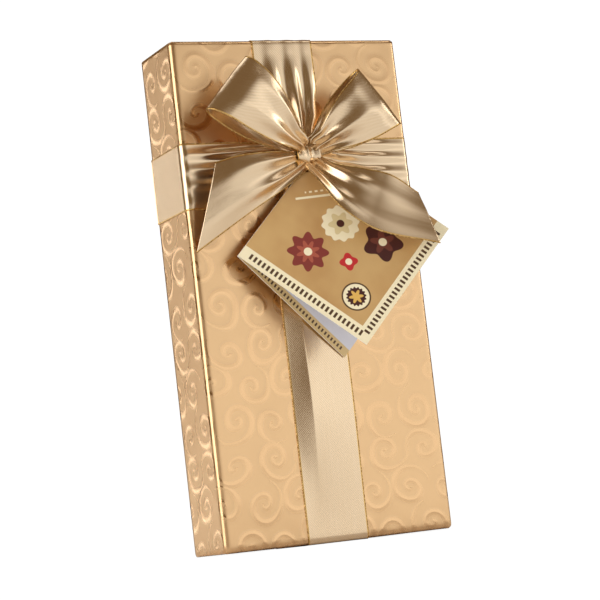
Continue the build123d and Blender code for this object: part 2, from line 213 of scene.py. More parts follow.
def effect_group(name: str, inputs: Sequence[Tuple[str, str, object]],
                 outputs: Sequence[Tuple[str, str]]) -> Tuple[Nodes, bpy.types.Node, bpy.types.Node]:
    """Starts a shader node group.

    Args:
        name: the group's name.
        inputs: name, socket type and default of each input.
        outputs: name and socket type of each output.

    Returns:
        Its nodes, its Group Input and its Group Output.
    """
    tree = bpy.data.node_groups.new(name, "ShaderNodeTree")
    for label, kind, default in inputs:
        socket = tree.interface.new_socket(label, in_out="INPUT", socket_type="NodeSocket" + kind)
        socket.default_value = default
    for label, kind in outputs:
        tree.interface.new_socket(label, in_out="OUTPUT", socket_type="NodeSocket" + kind)
    return Nodes(tree), tree.nodes.new("NodeGroupInput"), tree.nodes.new("NodeGroupOutput")


def paper_grain_group() -> None:
    """Fine fibre of paper and card: a shade that varies and a height in metres."""
    nodes, given, made = effect_group(
        "Paper Grain",
        [("Vector", "Vector", (0, 0, 0)), ("Colour", "Color", (1, 1, 1, 1)),
         ("Variation", "Float", 0.1), ("Depth", "Float", 0.00002)],
        [("Colour", "Color"), ("Height", "Float")])
    cloud_scale = 45.0
    fibre_scale = 1400.0
    cloud_share = 0.7
    fibre_share = 0.3
    cloud = nodes.noise(given.outputs["Vector"], cloud_scale, 4.0)
    fibre = nodes.noise(given.outputs["Vector"], fibre_scale, 2.0)
    shade = nodes.math("ADD", nodes.times(cloud, cloud_share), nodes.times(fibre, fibre_share))
    swing = nodes.times(nodes.less(shade, 0.5), given.outputs["Variation"])
    level = nodes.math("ADD", nodes.times(swing, 2.0), 1.0)
    scaled = nodes.add("VectorMath", {0: given.outputs["Colour"], "Scale": level}, operation="SCALE")
    height = nodes.times(fibre, given.outputs["Depth"])
    nodes.give(made, {"Colour": scaled.outputs[0], "Height": height})


def lame_weave_group() -> None:
    """Twill of metallic threads on a ribbon's UV map, in metres across and along."""
    nodes, given, made = effect_group(
        "Lame Weave",
        [("Vector", "Vector", (0, 0, 0)), ("Light", "Color", (1, 1, 1, 1)),
         ("Dark", "Color", (0, 0, 0, 1)), ("Pitch", "Float", 0.0007), ("Depth", "Float", 0.00003)],
        [("Colour", "Color"), ("Height", "Float")])
    twill_height = 0.4
    warp_height = 0.08
    streak_stretch = (1.0, 0.06, 1.0)
    streak_scale = 900.0
    thread_share = 0.7
    streak_share = 0.3
    tone_band = (0.25, 0.75)
    axes = nodes.add("SeparateXYZ", {0: given.outputs["Vector"]})
    across = nodes.math("DIVIDE", axes.outputs[0], given.outputs["Pitch"])
    along = nodes.math("DIVIDE", axes.outputs[1], given.outputs["Pitch"])
    twill = nodes.math("SINE", nodes.times(nodes.math("ADD", across, along), 2 * math.pi))
    warp = nodes.math("SINE", nodes.times(across, 4 * math.pi))
    thread = nodes.math("ADD", nodes.times(twill, twill_height), nodes.times(warp, warp_height))
    thread = nodes.math("ADD", thread, 0.5, clamp=True)
    streak = nodes.noise(nodes.vector("MULTIPLY", given.outputs["Vector"], streak_stretch), streak_scale, 1.0)
    tone = nodes.math("ADD", nodes.times(thread, thread_share), nodes.times(streak, streak_share))
    colour = nodes.mix(nodes.smooth(tone, *tone_band), given.outputs["Dark"], given.outputs["Light"])
    nodes.give(made, {"Colour": colour, "Height": nodes.times(thread, given.outputs["Depth"])})


def pressed_scroll_group() -> None:
    """A line that curls in to a centre: how far a point lies outside it, in metres."""
    nodes, given, made = effect_group(
        "Pressed Scroll",
        [("Point", "Vector", (0, 0, 0)), ("Centre", "Vector", (0, 0, 0)),
         ("Half Repeat", "Vector", (1, 1, 1)), ("Radius", "Float", 0.008),
         ("Turns", "Float", 1.5), ("Start", "Float", 0.0), ("Way", "Float", 1.0),
         ("Half Width", "Float", 0.001), ("Under", "Float", 1.0)],
        [("Distance", "Float")])
    slimming = 0.62
    tip_shares = (-0.02, 0.22)
    knob_shares = (0.9, 1.0)
    knob = 0.25
    offset = nodes.vector("SUBTRACT", given.outputs["Point"], given.outputs["Centre"])
    lowest = nodes.vector("MULTIPLY", given.outputs["Half Repeat"], (-1, -1, -1))
    offset = nodes.vector("WRAP", offset, given.outputs["Half Repeat"], lowest)
    axes = nodes.add("SeparateXYZ", {0: offset})
    flat = nodes.add("CombineXYZ", {0: axes.outputs[0], 1: axes.outputs[1]}).outputs[0]
    away = nodes.vector("LENGTH", flat, out=1)
    angle = nodes.math("DIVIDE", nodes.math("ARCTAN2", axes.outputs[1], axes.outputs[0]), 2 * math.pi)
    turn = nodes.math("FRACT", nodes.less(nodes.times(angle, given.outputs["Way"]), given.outputs["Start"]))
    turns, radius = given.outputs["Turns"], given.outputs["Radius"]
    reach = nodes.math("POWER", nodes.math("DIVIDE", away, radius), 1 / SPIRAL_POWER)
    inward = nodes.less(nodes.times(turns, nodes.less(1.0, reach)), turn)
    most = nodes.math("FLOOR", nodes.less(turns, turn))
    lap = nodes.math("MAXIMUM", nodes.math("MINIMUM", nodes.math("ROUND", inward), most), 0.0)
    share = nodes.math("DIVIDE", nodes.math("ADD", turn, lap), turns, clamp=True)
    line = nodes.times(radius, nodes.math("POWER", nodes.less(1.0, share), SPIRAL_POWER))
    slim = nodes.less(1.0, nodes.times(share, slimming))
    swell = nodes.times(nodes.smooth(share, *tip_shares), slim)
    swell = nodes.math("ADD", swell, nodes.times(nodes.smooth(share, *knob_shares), knob))
    half = nodes.times(given.outputs["Half Width"], swell)
    gap = nodes.math("ABSOLUTE", nodes.less(away, line))
    nearest = nodes.math("MINIMUM", given.outputs["Under"], nodes.less(gap, half))
    nodes.give(made, {"Distance": nearest})


def print_mark_group() -> None:
    """A printed disc with petals, on a point given in metres."""
    nodes, given, made = effect_group(
        "Print Mark",
        [("Point", "Vector", (0, 0, 0)), ("Centre", "Vector", (0, 0, 0)), ("Radius", "Float", 0.005),
         ("Petals", "Float", 6.0), ("Depth", "Float", 0.2), ("Turn", "Float", 0.0),
         ("Colour", "Color", (1, 1, 1, 1)), ("Under", "Color", (0, 0, 0, 1))],
        [("Colour", "Color")])
    softness = 0.00012
    offset = nodes.vector("SUBTRACT", given.outputs["Point"], given.outputs["Centre"])
    away = nodes.vector("LENGTH", offset, out=1)
    axes = nodes.add("SeparateXYZ", {0: offset})
    angle = nodes.math("ADD", nodes.math("ARCTAN2", axes.outputs[1], axes.outputs[0]), given.outputs["Turn"])
    lobe = nodes.math("COSINE", nodes.times(angle, given.outputs["Petals"]))
    cut = nodes.times(nodes.less(1.0, lobe), nodes.times(given.outputs["Depth"], 0.5))
    reach = nodes.times(given.outputs["Radius"], nodes.less(1.0, cut))
    mask = nodes.smooth(nodes.less(reach, away), -softness, softness)
    nodes.give(made, {"Colour": nodes.mix(mask, given.outputs["Under"], given.outputs["Colour"])})


def print_bar_group() -> None:
    """A printed bar, plain or broken into dashes, on a point given in metres."""
    nodes, given, made = effect_group(
        "Print Bar",
        [("Point", "Vector", (0, 0, 0)), ("Centre", "Vector", (0, 0, 0)), ("Half", "Vector", (1, 1, 1)),
         ("Pitch", "Float", 1.0), ("Fill", "Float", 1.1),
         ("Colour", "Color", (1, 1, 1, 1)), ("Under", "Color", (0, 0, 0, 1))],
        [("Colour", "Color")])
    softness = 0.0001
    dash_softness = 0.02
    offset = nodes.vector("SUBTRACT", given.outputs["Point"], given.outputs["Centre"])
    room = nodes.vector("SUBTRACT", given.outputs["Half"], nodes.vector("ABSOLUTE", offset))
    axes = nodes.add("SeparateXYZ", {0: room})
    inside = nodes.smooth(nodes.math("MINIMUM", axes.outputs[0], axes.outputs[1]), -softness, softness)
    place = nodes.add("SeparateXYZ", {0: offset})
    step = nodes.math("PINGPONG", nodes.math("DIVIDE", place.outputs[0], given.outputs["Pitch"]), 0.5)
    filled = nodes.less(nodes.times(given.outputs["Fill"], 0.5), step)
    mask = nodes.times(inside, nodes.smooth(filled, -dash_softness, dash_softness))
    nodes.give(made, {"Colour": nodes.mix(mask, given.outputs["Under"], given.outputs["Colour"])})


class Finish:
    """Base of the finishes: each makes one material, once."""

    name: str

    def principled(self) -> Tuple[bpy.types.Material, Nodes, bpy.types.Node]:
        """Starts a material with a Principled shader.

        Returns:
            The material, its nodes and the shader.
        """
        material = bpy.data.materials.new(self.name)
        material.use_nodes = True
        material.node_tree.nodes.clear()
        nodes = Nodes(material.node_tree)
        shader = nodes.add("BsdfPrincipled")
        nodes.add("OutputMaterial", {0: shader.outputs[0]})
        return material, nodes, shader

    def material(self) -> bpy.types.Material:
        """The finish's material, made on the first call."""
        return bpy.data.materials.get(self.name) or self.make()

    def make(self) -> bpy.types.Material:
        """Makes the material."""
        raise NotImplementedError


@dataclass(frozen=True)
class Scroll:
    """One pressed scroll, in millimetres on the paper's repeat."""

    x: float
    y: float
    radius: float
    turns: float
    start: float
    way: int
    half_width: float


@dataclass(frozen=True)
class EmbossedPaper(Finish):
    """Metallised paper with scrolls pressed up from its ground, in metres on its UV map."""

    name: str = "embossed_paper"
    ground: Colour = srgb(236, 198, 150)
    line: Colour = srgb(223, 184, 138)
    metallic: float = 1.0
    ground_roughness: float = 0.31
    line_roughness: float = 0.15
    emboss: float = 0.00006
    line_band: Pair = (0.0007, -0.0011)
    crown_band: Pair = (0.0012, -0.0017)
    wander: float = 0.005
    wander_scale: float = 48.0
    wave: float = 0.0005
    wave_scale: float = 38.0
    grain_variation: float = 0.04
    grain_depth: float = 0.000003
    outside: float = 0.01
    repeat: Pair = (46.0, 44.6)
    scrolls: Tuple[Scroll, ...] = (
        Scroll(4.5, 7.5, 8.8, 1.9, 0.55, 1, 1.5),
        Scroll(20.0, 5.5, 8.0, 1.6, 0.15, -1, 1.45),
        Scroll(35.0, 8.5, 9.0, 2.0, 0.30, 1, 1.5),
        Scroll(12.5, 21.0, 8.6, 1.8, 0.80, -1, 1.5),
        Scroll(28.0, 22.5, 8.8, 1.9, 0.05, 1, 1.5),
        Scroll(43.0, 22.5, 7.8, 1.5, 0.65, -1, 1.4),
        Scroll(3.5, 35.5, 8.0, 1.6, 0.40, 1, 1.45),
        Scroll(19.5, 37.0, 9.2, 2.0, 0.95, -1, 1.5),
        Scroll(35.5, 37.5, 8.2, 1.7, 0.45, -1, 1.45),
    )

    def make(self) -> bpy.types.Material:
        """Makes the material.

        Returns:
            The material.
        """
        material, nodes, shader = self.principled()
        flat = nodes.uv()
        drift = nodes.add("TexNoise", {"Vector": flat, "Scale": self.wander_scale, "Detail": 0.0}).outputs[1]
        uv = nodes.vector("MULTIPLY_ADD", nodes.vector("SUBTRACT", drift, (0.5, 0.5, 0.5)),
                          (self.wander, self.wander, 0.0), flat)
        place = nodes.object_point()
        half_repeat = (self.repeat[0] / 2 * MM, self.repeat[1] / 2 * MM, 1)
        reach: object = self.outside
        for scroll in self.scrolls:
            reach = nodes.group("Pressed Scroll", {
                "Point": uv, "Centre": (scroll.x * MM, scroll.y * MM, 0),
                "Half Repeat": half_repeat, "Radius": scroll.radius * MM,
                "Turns": scroll.turns, "Start": scroll.start, "Way": float(scroll.way),
                "Half Width": scroll.half_width * MM, "Under": reach}).outputs["Distance"]
        line = nodes.smooth(reach, *self.line_band)
        crown = nodes.smooth(reach, *self.crown_band)
        grain = nodes.group("Paper Grain", {
            "Vector": place, "Colour": nodes.mix(line, self.ground, self.line),
            "Variation": self.grain_variation, "Depth": self.grain_depth})
        height = nodes.math("ADD", nodes.times(crown, self.emboss), grain.outputs["Height"])
        waves = nodes.times(nodes.noise(place, self.wave_scale, 2.0), self.wave)
        rough = nodes.add("MapRange", {0: line, 3: self.ground_roughness, 4: self.line_roughness})
        nodes.give(shader, {
            "Base Color": grain.outputs["Colour"], "Roughness": rough.outputs[0],
            "Normal": nodes.bump(height, nodes.bump(waves)), "Metallic": self.metallic})
        return material


@dataclass(frozen=True)
class LameRibbon(Finish):
    """Woven metallic ribbon with a gold selvage, on the ribbon's own UV map."""

    name: str = "lame_ribbon"
    light: Colour = srgb(240, 218, 187)
    dark: Colour = srgb(230, 203, 165)
    edge: Colour = srgb(224, 184, 110)
    width: float = 0.025
    edge_width: float = 0.0006
    edge_fade: float = 0.6
    pitch: float = 0.00082
    thread_depth: float = 0.00001
    crease: float = 0.00012
    crease_scale: float = 150.0
    crease_stretch: Point = (1.0, 0.12, 1.0)
    metallic: float = 1.0
    roughness: float = 0.235

    def make(self) -> bpy.types.Material:
        """Makes the material.

        Returns:
            The material.
        """
        material, nodes, shader = self.principled()
        uv = nodes.uv()
        weave = nodes.group("Lame Weave", {
            "Vector": uv, "Light": self.light, "Dark": self.dark,
            "Pitch": self.pitch, "Depth": self.thread_depth})
        across = nodes.add("SeparateXYZ", {0: uv}).outputs[0]
        inner = nodes.math("MINIMUM", across, nodes.less(self.width, across))
        selvage = nodes.smooth(inner, self.edge_width, self.edge_width * self.edge_fade)
        place = nodes.vector("MULTIPLY", uv, self.crease_stretch)
        creases = nodes.times(nodes.noise(place, self.crease_scale, 2.0), self.crease)
        nodes.give(shader, {
            "Base Color": nodes.mix(selvage, weave.outputs["Colour"], self.edge),
            "Normal": nodes.bump(weave.outputs["Height"], nodes.bump(creases)),
            "Metallic": self.metallic, "Roughness": self.roughness})
        return material


@dataclass(frozen=True)
class GoldThread(Finish):
    """Twisted gold thread of the ribbon's edges."""

    name: str = "gold_thread"
    light: Colour = srgb(238, 202, 136)
    dark: Colour = srgb(148, 104, 48)
    twist_scale: float = 1500.0
    twist_band: Pair = (0.35, 0.65)
    metallic: float = 0.9
    roughness: float = 0.32

    def make(self) -> bpy.types.Material:
        """Makes the material.

        Returns:
            The material.
        """
        material, nodes, shader = self.principled()
        twist = nodes.smooth(nodes.noise(nodes.object_point(), self.twist_scale, 2.0), *self.twist_band)
        nodes.give(shader, {
            "Base Color": nodes.mix(twist, self.dark, self.light),
            "Metallic": self.metallic, "Roughness": self.roughness})
        return material


@dataclass(frozen=True)
class Card(Finish):
    """Card or board with a little grain."""

    name: str
    colour: Colour
    metallic: float = 0.0
    roughness: float = 0.6
    variation: float = 0.1
    depth: float = 0.00002

    def make(self) -> bpy.types.Material:
        """Makes the material.

        Returns:
            The material.
        """
        material, nodes, shader = self.principled()
        grain = nodes.group("Paper Grain", {
            "Vector": nodes.object_point(), "Colour": self.colour,
            "Variation": self.variation, "Depth": self.depth})
        nodes.give(shader, {
            "Base Color": grain.outputs["Colour"], "Normal": nodes.bump(grain.outputs["Height"]),
            "Metallic": self.metallic, "Roughness": self.roughness})
        return material


@dataclass(frozen=True)
class Mark:
    """A printed rosette or disc: centre and radius in millimetres on the tag's upright design."""

    x: float
    y: float
    radius: float
    colour: Colour
    petals: float = 6.0
    depth: float = 0.0
    turn: float = 0.0


@dataclass(frozen=True)
class Bar:
    """A printed bar in millimetres, on the design or along the leaf's own edges."""

    x: float
    y: float
    half_x: float
    half_y: float
    colour: Colour
    pitch: float = 1000.0
    fill: float = 1.1


CREAM = srgb(244, 228, 188)
INK = srgb(84, 58, 34)
RED_BROWN = srgb(134, 52, 42)
DARK_BROWN = srgb(74, 34, 30)
RED = srgb(196, 36, 38)
GOLD_PRINT = srgb(224, 176, 84)

DESIGN_MARKS: Tuple[Mark, ...] = (
    Mark(-14.5, -2.0, 8.0, RED_BROWN, 8.0, 0.28, 0.2),
    Mark(-14.5, -2.0, 4.6, srgb(172, 84, 62), 8.0, 0.45, 0.6),
    Mark(-14.5, -2.0, 1.6, CREAM),
    Mark(0.0, 7.5, 7.4, CREAM, 12.0, 0.12),
    Mark(0.0, 7.5, 4.8, srgb(222, 200, 148), 6.0, 0.35),
    Mark(0.0, 7.5, 1.5, DARK_BROWN),
    Mark(14.5, -2.0, 8.0, DARK_BROWN, 5.0, 0.3, 0.3),
    Mark(14.5, -2.0, 4.8, srgb(112, 58, 46), 5.0, 0.5, 0.93),
    Mark(14.5, -2.0, 1.6, CREAM),
    Mark(0.0, -8.0, 3.6, RED, 4.0, 0.3),
    Mark(0.0, -8.0, 1.3, CREAM),
    Mark(0.0, -22.0, 5.6, INK),
    Mark(0.0, -22.0, 5.0, CREAM),
    Mark(0.0, -22.0, 3.9, DARK_BROWN, 16.0, 0.15),
    Mark(0.0, -22.0, 2.8, GOLD_PRINT, 6.0, 0.5),
)
DESIGN_BARS: Tuple[Bar, ...] = (
    Bar(0.0, 19.5, 15.0, 0.45, CREAM),
    Bar(0.0, 21.6, 11.0, 0.35, CREAM, 2.2, 0.5),
)
BAND = 5.2
LEAF_SIDE = 58.0
DASH_MARGIN = 3.0
DASH_ROW = LEAF_SIDE / 2 - DASH_MARGIN
EDGE_BARS: Tuple[Bar, ...] = (
    Bar(BAND / 2, LEAF_SIDE / 2, BAND / 2, LEAF_SIDE, CREAM),
    Bar(LEAF_SIDE / 2, LEAF_SIDE - BAND / 2, LEAF_SIDE, BAND / 2, CREAM),
)
LOW_DASHES = Bar(LEAF_SIDE / 2, BAND / 2, DASH_ROW, 1.15, INK, 1.9, 0.52)
HIGH_DASHES = Bar(LEAF_SIDE / 2, LEAF_SIDE - BAND / 2, DASH_ROW, 1.15, INK, 1.9, 0.52)


class TagFinish(Finish):
    """What both sides of the tag share. The UV map is in metres along and across the leaf's fold."""

    @staticmethod
    def bar(nodes: Nodes, point: object, bar: Bar, under: object) -> bpy.types.NodeSocket:
        """Prints one bar.

        Args:
            nodes: the material's nodes.
            point: the point, in metres.
            bar: the bar.
            under: the colour that it is printed on.

        Returns:
            The printed colour.
        """
        return nodes.group("Print Bar", {
            "Point": point, "Centre": (bar.x * MM, bar.y * MM, 0),
            "Half": (bar.half_x * MM, bar.half_y * MM, 1), "Pitch": bar.pitch * MM, "Fill": bar.fill,
            "Colour": bar.colour, "Under": under}).outputs["Colour"]

    @staticmethod
    def swapped(nodes: Nodes, point: object) -> bpy.types.NodeSocket:
        """The point with its two axes swapped."""
        axes = nodes.add("SeparateXYZ", {0: point})
        return nodes.add("CombineXYZ", {0: axes.outputs[1], 1: axes.outputs[0]}).outputs[0]


@dataclass(frozen=True)
class PrintedTag(TagFinish):
    """Outer print of the tag: gold ground, cream edge bands and generic rosettes."""

    name: str = "tag_print"
    ground: Colour = srgb(205, 164, 104)
    shade: Colour = srgb(186, 140, 82)
    cloud_scale: float = 40.0
    cloud_band: Pair = (0.3, 0.7)
    design_turn: float = 45.0
    grain_variation: float = 0.04
    grain_depth: float = 0.000004
    roughness: float = 0.38
    coat: float = 0.25
    coat_roughness: float = 0.2

    def make(self) -> bpy.types.Material:
        """Makes the material.

        Returns:
            The material.
        """
        material, nodes, shader = self.principled()
        uv = nodes.uv()
        half = LEAF_SIDE / 2 * MM
        centred = nodes.vector("SUBTRACT", uv, (half, half, 0))
        design = nodes.add("VectorRotate", {"Vector": centred, "Angle": math.radians(self.design_turn)},
                           rotation_type="Z_AXIS").outputs[0]
        upright = self.swapped(nodes, design)
        cloud = nodes.smooth(nodes.noise(uv, self.cloud_scale), *self.cloud_band)
        colour = nodes.mix(cloud, self.ground, self.shade)
        for bar in DESIGN_BARS:
            colour = self.bar(nodes, upright, bar, colour)
        for mark in DESIGN_MARKS:
            colour = nodes.group("Print Mark", {
                "Point": upright, "Centre": (mark.x * MM, mark.y * MM, 0), "Radius": mark.radius * MM,
                "Petals": mark.petals, "Depth": mark.depth, "Turn": mark.turn,
                "Colour": mark.colour, "Under": colour}).outputs["Colour"]
        for band in EDGE_BARS:
            colour = self.bar(nodes, uv, band, colour)
        colour = self.bar(nodes, self.swapped(nodes, uv), LOW_DASHES, colour)
        colour = self.bar(nodes, uv, HIGH_DASHES, colour)
        grain = nodes.group("Paper Grain", {
            "Vector": uv, "Colour": colour, "Variation": self.grain_variation, "Depth": self.grain_depth})
        nodes.give(shader, {
            "Base Color": grain.outputs["Colour"], "Normal": nodes.bump(grain.outputs["Height"]),
            "Roughness": self.roughness, "Coat Weight": self.coat, "Coat Roughness": self.coat_roughness})
        return material


@dataclass(frozen=True)
class TagInside(TagFinish):
    """Inner side of the tag: pale cool card with a dashed gold band along its low edge."""

    name: str = "tag_inside"
    ground: Colour = srgb(216, 213, 218)
    band: Colour = srgb(214, 184, 128)
    band_width: float = 3.6
    band_softness: float = 0.2
    dash_half: float = 0.7
    dash_pitch: float = 1.7
    dash_fill: float = 0.46
    grain_variation: float = 0.05
    grain_depth: float = 0.00001
    roughness: float = 0.5

    def make(self) -> bpy.types.Material:
        """Makes the material.

        Returns:
            The material.
        """
        material, nodes, shader = self.principled()
        uv = nodes.uv()
        along = nodes.add("SeparateXYZ", {0: uv}).outputs[0]
        band = nodes.smooth(along, self.band_width * MM, (self.band_width - self.band_softness) * MM)
        dashes = Bar(LEAF_SIDE / 2, self.band_width / 2, DASH_ROW, self.dash_half, INK,
                     self.dash_pitch, self.dash_fill)
        colour = self.bar(nodes, self.swapped(nodes, uv), dashes, nodes.mix(band, self.ground, self.band))
        grain = nodes.group("Paper Grain", {
            "Vector": uv, "Colour": colour, "Variation": self.grain_variation, "Depth": self.grain_depth})
        nodes.give(shader, {
            "Base Color": grain.outputs["Colour"], "Normal": nodes.bump(grain.outputs["Height"]),
            "Roughness": self.roughness})
        return material


@dataclass(frozen=True)
class RecordFinish(Finish):
    """A plain finish of the record, whose material the frame brings under the slot's name."""

    name: str

    def material(self) -> bpy.types.Material:
        """The frame's own material."""
        return bpy.data.materials[self.name]


@dataclass(frozen=True)
class Glassine(Finish):
    """Thin brown glossy paper, crinkled."""

    name: str
    colour: Colour = srgb(92, 56, 32)
    light: Colour = srgb(132, 88, 54)
    crinkle: float = 0.0005
    crinkle_scale: float = 260.0
    crinkle_band: Pair = (0.3, 0.75)
    roughness: float = 0.32
    coat: float = 0.2

    def make(self) -> bpy.types.Material:
        """Makes the material.

        Returns:
            The material.
        """
        material, nodes, shader = self.principled()
        crinkle = nodes.noise(nodes.object_point(), self.crinkle_scale, 5.0)
        nodes.give(shader, {
            "Base Color": nodes.mix(nodes.smooth(crinkle, *self.crinkle_band), self.colour, self.light),
            "Normal": nodes.bump(nodes.times(crinkle, self.crinkle)),
            "Roughness": self.roughness, "Coat Weight": self.coat})
        return material


RIM_PAPER = Card(name="rim_paper", colour=srgb(226, 186, 138), metallic=0.8, roughness=0.4, variation=0.04)
GOLD_PAPER = EmbossedPaper()
RIBBON = LameRibbon()
THREAD = GoldThread()
TAG_PRINT = PrintedTag()
TAG_INSIDE = TagInside()
TAG_EDGE = Card(name="tag_edge", colour=srgb(236, 230, 216))
TIE = Card(name="tie_cord", colour=srgb(190, 150, 90), metallic=0.5)
BOARD = Card(name="box_board", colour=srgb(214, 206, 190), variation=0.12)
GOLD_CARD = Card(name="gold_card", colour=srgb(222, 184, 112), metallic=0.75, roughness=0.36, variation=0.05)
MAT_GLASSINE = Glassine(name="mat_glassine")
PAD_GLASSINE = Glassine(name="pad_glassine", colour=srgb(120, 78, 46), light=srgb(158, 112, 72))


def add_object(name: str, data: bpy.types.ID) -> bpy.types.Object:
    """Adds an object to the scene.

    Args:
        name: the object's name.
        data: its mesh, curve, lamp or camera.

    Returns:
        The object, at the origin.
    """
    made = bpy.data.objects.new(name, data)
    bpy.context.scene.collection.objects.link(made)
    return made


def new_object(name: str, mesh: bmesh.types.BMesh, smooth: bool = True) -> bpy.types.Object:
    """Turns a finished bmesh into an object.

    Args:
        name: the object's name.
        mesh: the bmesh, which is freed.
        smooth: whether its faces are shaded smooth.

    Returns:
        The object, at the origin.
    """
    data = bpy.data.meshes.new(name)
    mesh.to_mesh(data)
    mesh.free()
    data.polygons.foreach_set("use_smooth", [smooth] * len(data.polygons))
    return add_object(name, data)


def merged_copy(node: str, flat_angle: float) -> bmesh.types.BMesh:
    """A node's form as whole faces.

    Args:
        node: the node.
        flat_angle: the bend, in radians, below which neighbouring faces join.

    Returns:
        The bmesh.
    """
    mesh = bmesh.new()
    mesh.from_mesh(frame["nodes"][node].data)
    bmesh.ops.remove_doubles(mesh, verts=mesh.verts, dist=MERGE_DISTANCE)
    bmesh.ops.dissolve_limit(mesh, angle_limit=flat_angle, verts=mesh.verts, edges=mesh.edges)
    return mesh


def dress(piece: bpy.types.Object, finish: Finish, body: Body, slot: Slot,
          stands_for: Sequence[str] = ()) -> None:
    """Gives a piece its place in the model.

    Args:
        piece: the piece.
        finish: what it is made of, unless it has its materials already.
        body: what it rides on.
        slot: its material slot in the record; not used.
        stands_for: the nodes that it replaces.
    """
    if not piece.data.materials:
        piece.data.materials.append(finish.material())
    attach(piece, body.value)
    if stands_for:
        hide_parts(*stands_for)
    log.info("%s: %d faces on %s", piece.name, len(piece.data.polygons), body.value)


def paint(node: str, finish: Finish) -> None:
    """Gives a kept node a finish.

    Args:
        node: the node.
        finish: what it is made of.
    """
    materials = frame["nodes"][node].data.materials
    materials.clear()
    materials.append(finish.material())


def grid_sheet(name: str, columns: int, rows: int, place: Place, flat: Pair,
               shift: Pair = (0.0, 0.0)) -> bpy.types.Object:
    """A sheet laid from a flat grid.

    Args:
        name: the object's name.
        columns: faces across.
        rows: faces along.
        place: gives the point for shares across and along, both 0 to 1.
        flat: the sheet's size across and along, in metres, for its UV map.
        shift: where the UV map starts, in metres.

    Returns:
        The sheet.
    """
    mesh = bmesh.new()
    bmesh.ops.create_grid(mesh, x_segments=columns, y_segments=rows, size=0.5)
    uv = mesh.loops.layers.uv.new(UV_MAP)
    for face in mesh.faces:
        for loop in face.loops:
            x, y = loop.vert.co.x + 0.5, loop.vert.co.y + 0.5
            loop[uv].uv = (shift[0] + x * flat[0], shift[1] + y * flat[1])
    for vertex in mesh.verts:
        vertex.co = place(vertex.co.x + 0.5, vertex.co.y + 0.5)
    return new_object(name, mesh)


def thicken(piece: bpy.types.Object, thickness: float, offset: float = 0.0) -> None:
    """Gives a sheet its thickness with a live Solidify.

    Args:
        piece: the sheet.
        thickness: how thick it gets, in metres.
        offset: 0 to grow half to either side, -1 to grow all of it against the normals.
    """
    wall = piece.modifiers.new("thickness", "SOLIDIFY")
    wall.thickness = thickness
    wall.offset = offset
    wall.use_even_offset = False


def box_middle(node: str) -> Vector:
    """The middle of a node's box."""
    low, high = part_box(node)
    return (low + high) / 2


@dataclass
class BentPath:
    """A flat path of straight runs with round corners, followed by its length."""

    corners: Sequence[Pair]
    radii: Sequence[float]
    arc_points: int = 9
    probe: float = 0.0002
    points: np.ndarray = field(init=False)
    lengths: np.ndarray = field(init=False)

    def __post_init__(self) -> None:
        """Lays the runs and arcs out as close points."""
        corners = [np.array(corner) for corner in self.corners]
        line = [corners[0]]
        for before, corner, after, radius in zip(corners, corners[1:], corners[2:], self.radii):
            back = (before - corner) / np.linalg.norm(before - corner)
            forth = (after - corner) / np.linalg.norm(after - corner)
            for share in np.linspace(0.0, 1.0, self.arc_points):
                turn = share * math.pi / 2
                line.append(corner + radius * (back * (1 - math.sin(turn)) + forth * (1 - math.cos(turn))))
        line.append(corners[-1])
        self.points = np.array(line)
        steps = np.linalg.norm(np.diff(self.points, axis=0), axis=1)
        self.lengths = np.concatenate([[0.0], np.cumsum(steps)])

    @property
    def length(self) -> float:
        """The path's whole length."""
        return float(self.lengths[-1])

    def point(self, distance: float) -> np.ndarray:
        """The point at a distance along the path, or its end if that is nearer."""
        held = min(max(distance, 0.0), self.length)
        return np.array([np.interp(held, self.lengths, self.points[:, axis]) for axis in (0, 1)])

    def at(self, distance: float) -> Tuple[np.ndarray, np.ndarray]:
        """Follows the path.

        Args:
            distance: how far along it.

        Returns:
            The point there and the right-hand normal.
        """
        held = min(max(distance, 0.0), self.length)
        ahead, behind = self.point(held + self.probe), self.point(held - self.probe)
        way = (ahead - behind) / max(np.linalg.norm(ahead - behind), TINY)
        return self.point(held), np.array([way[1], -way[0]])


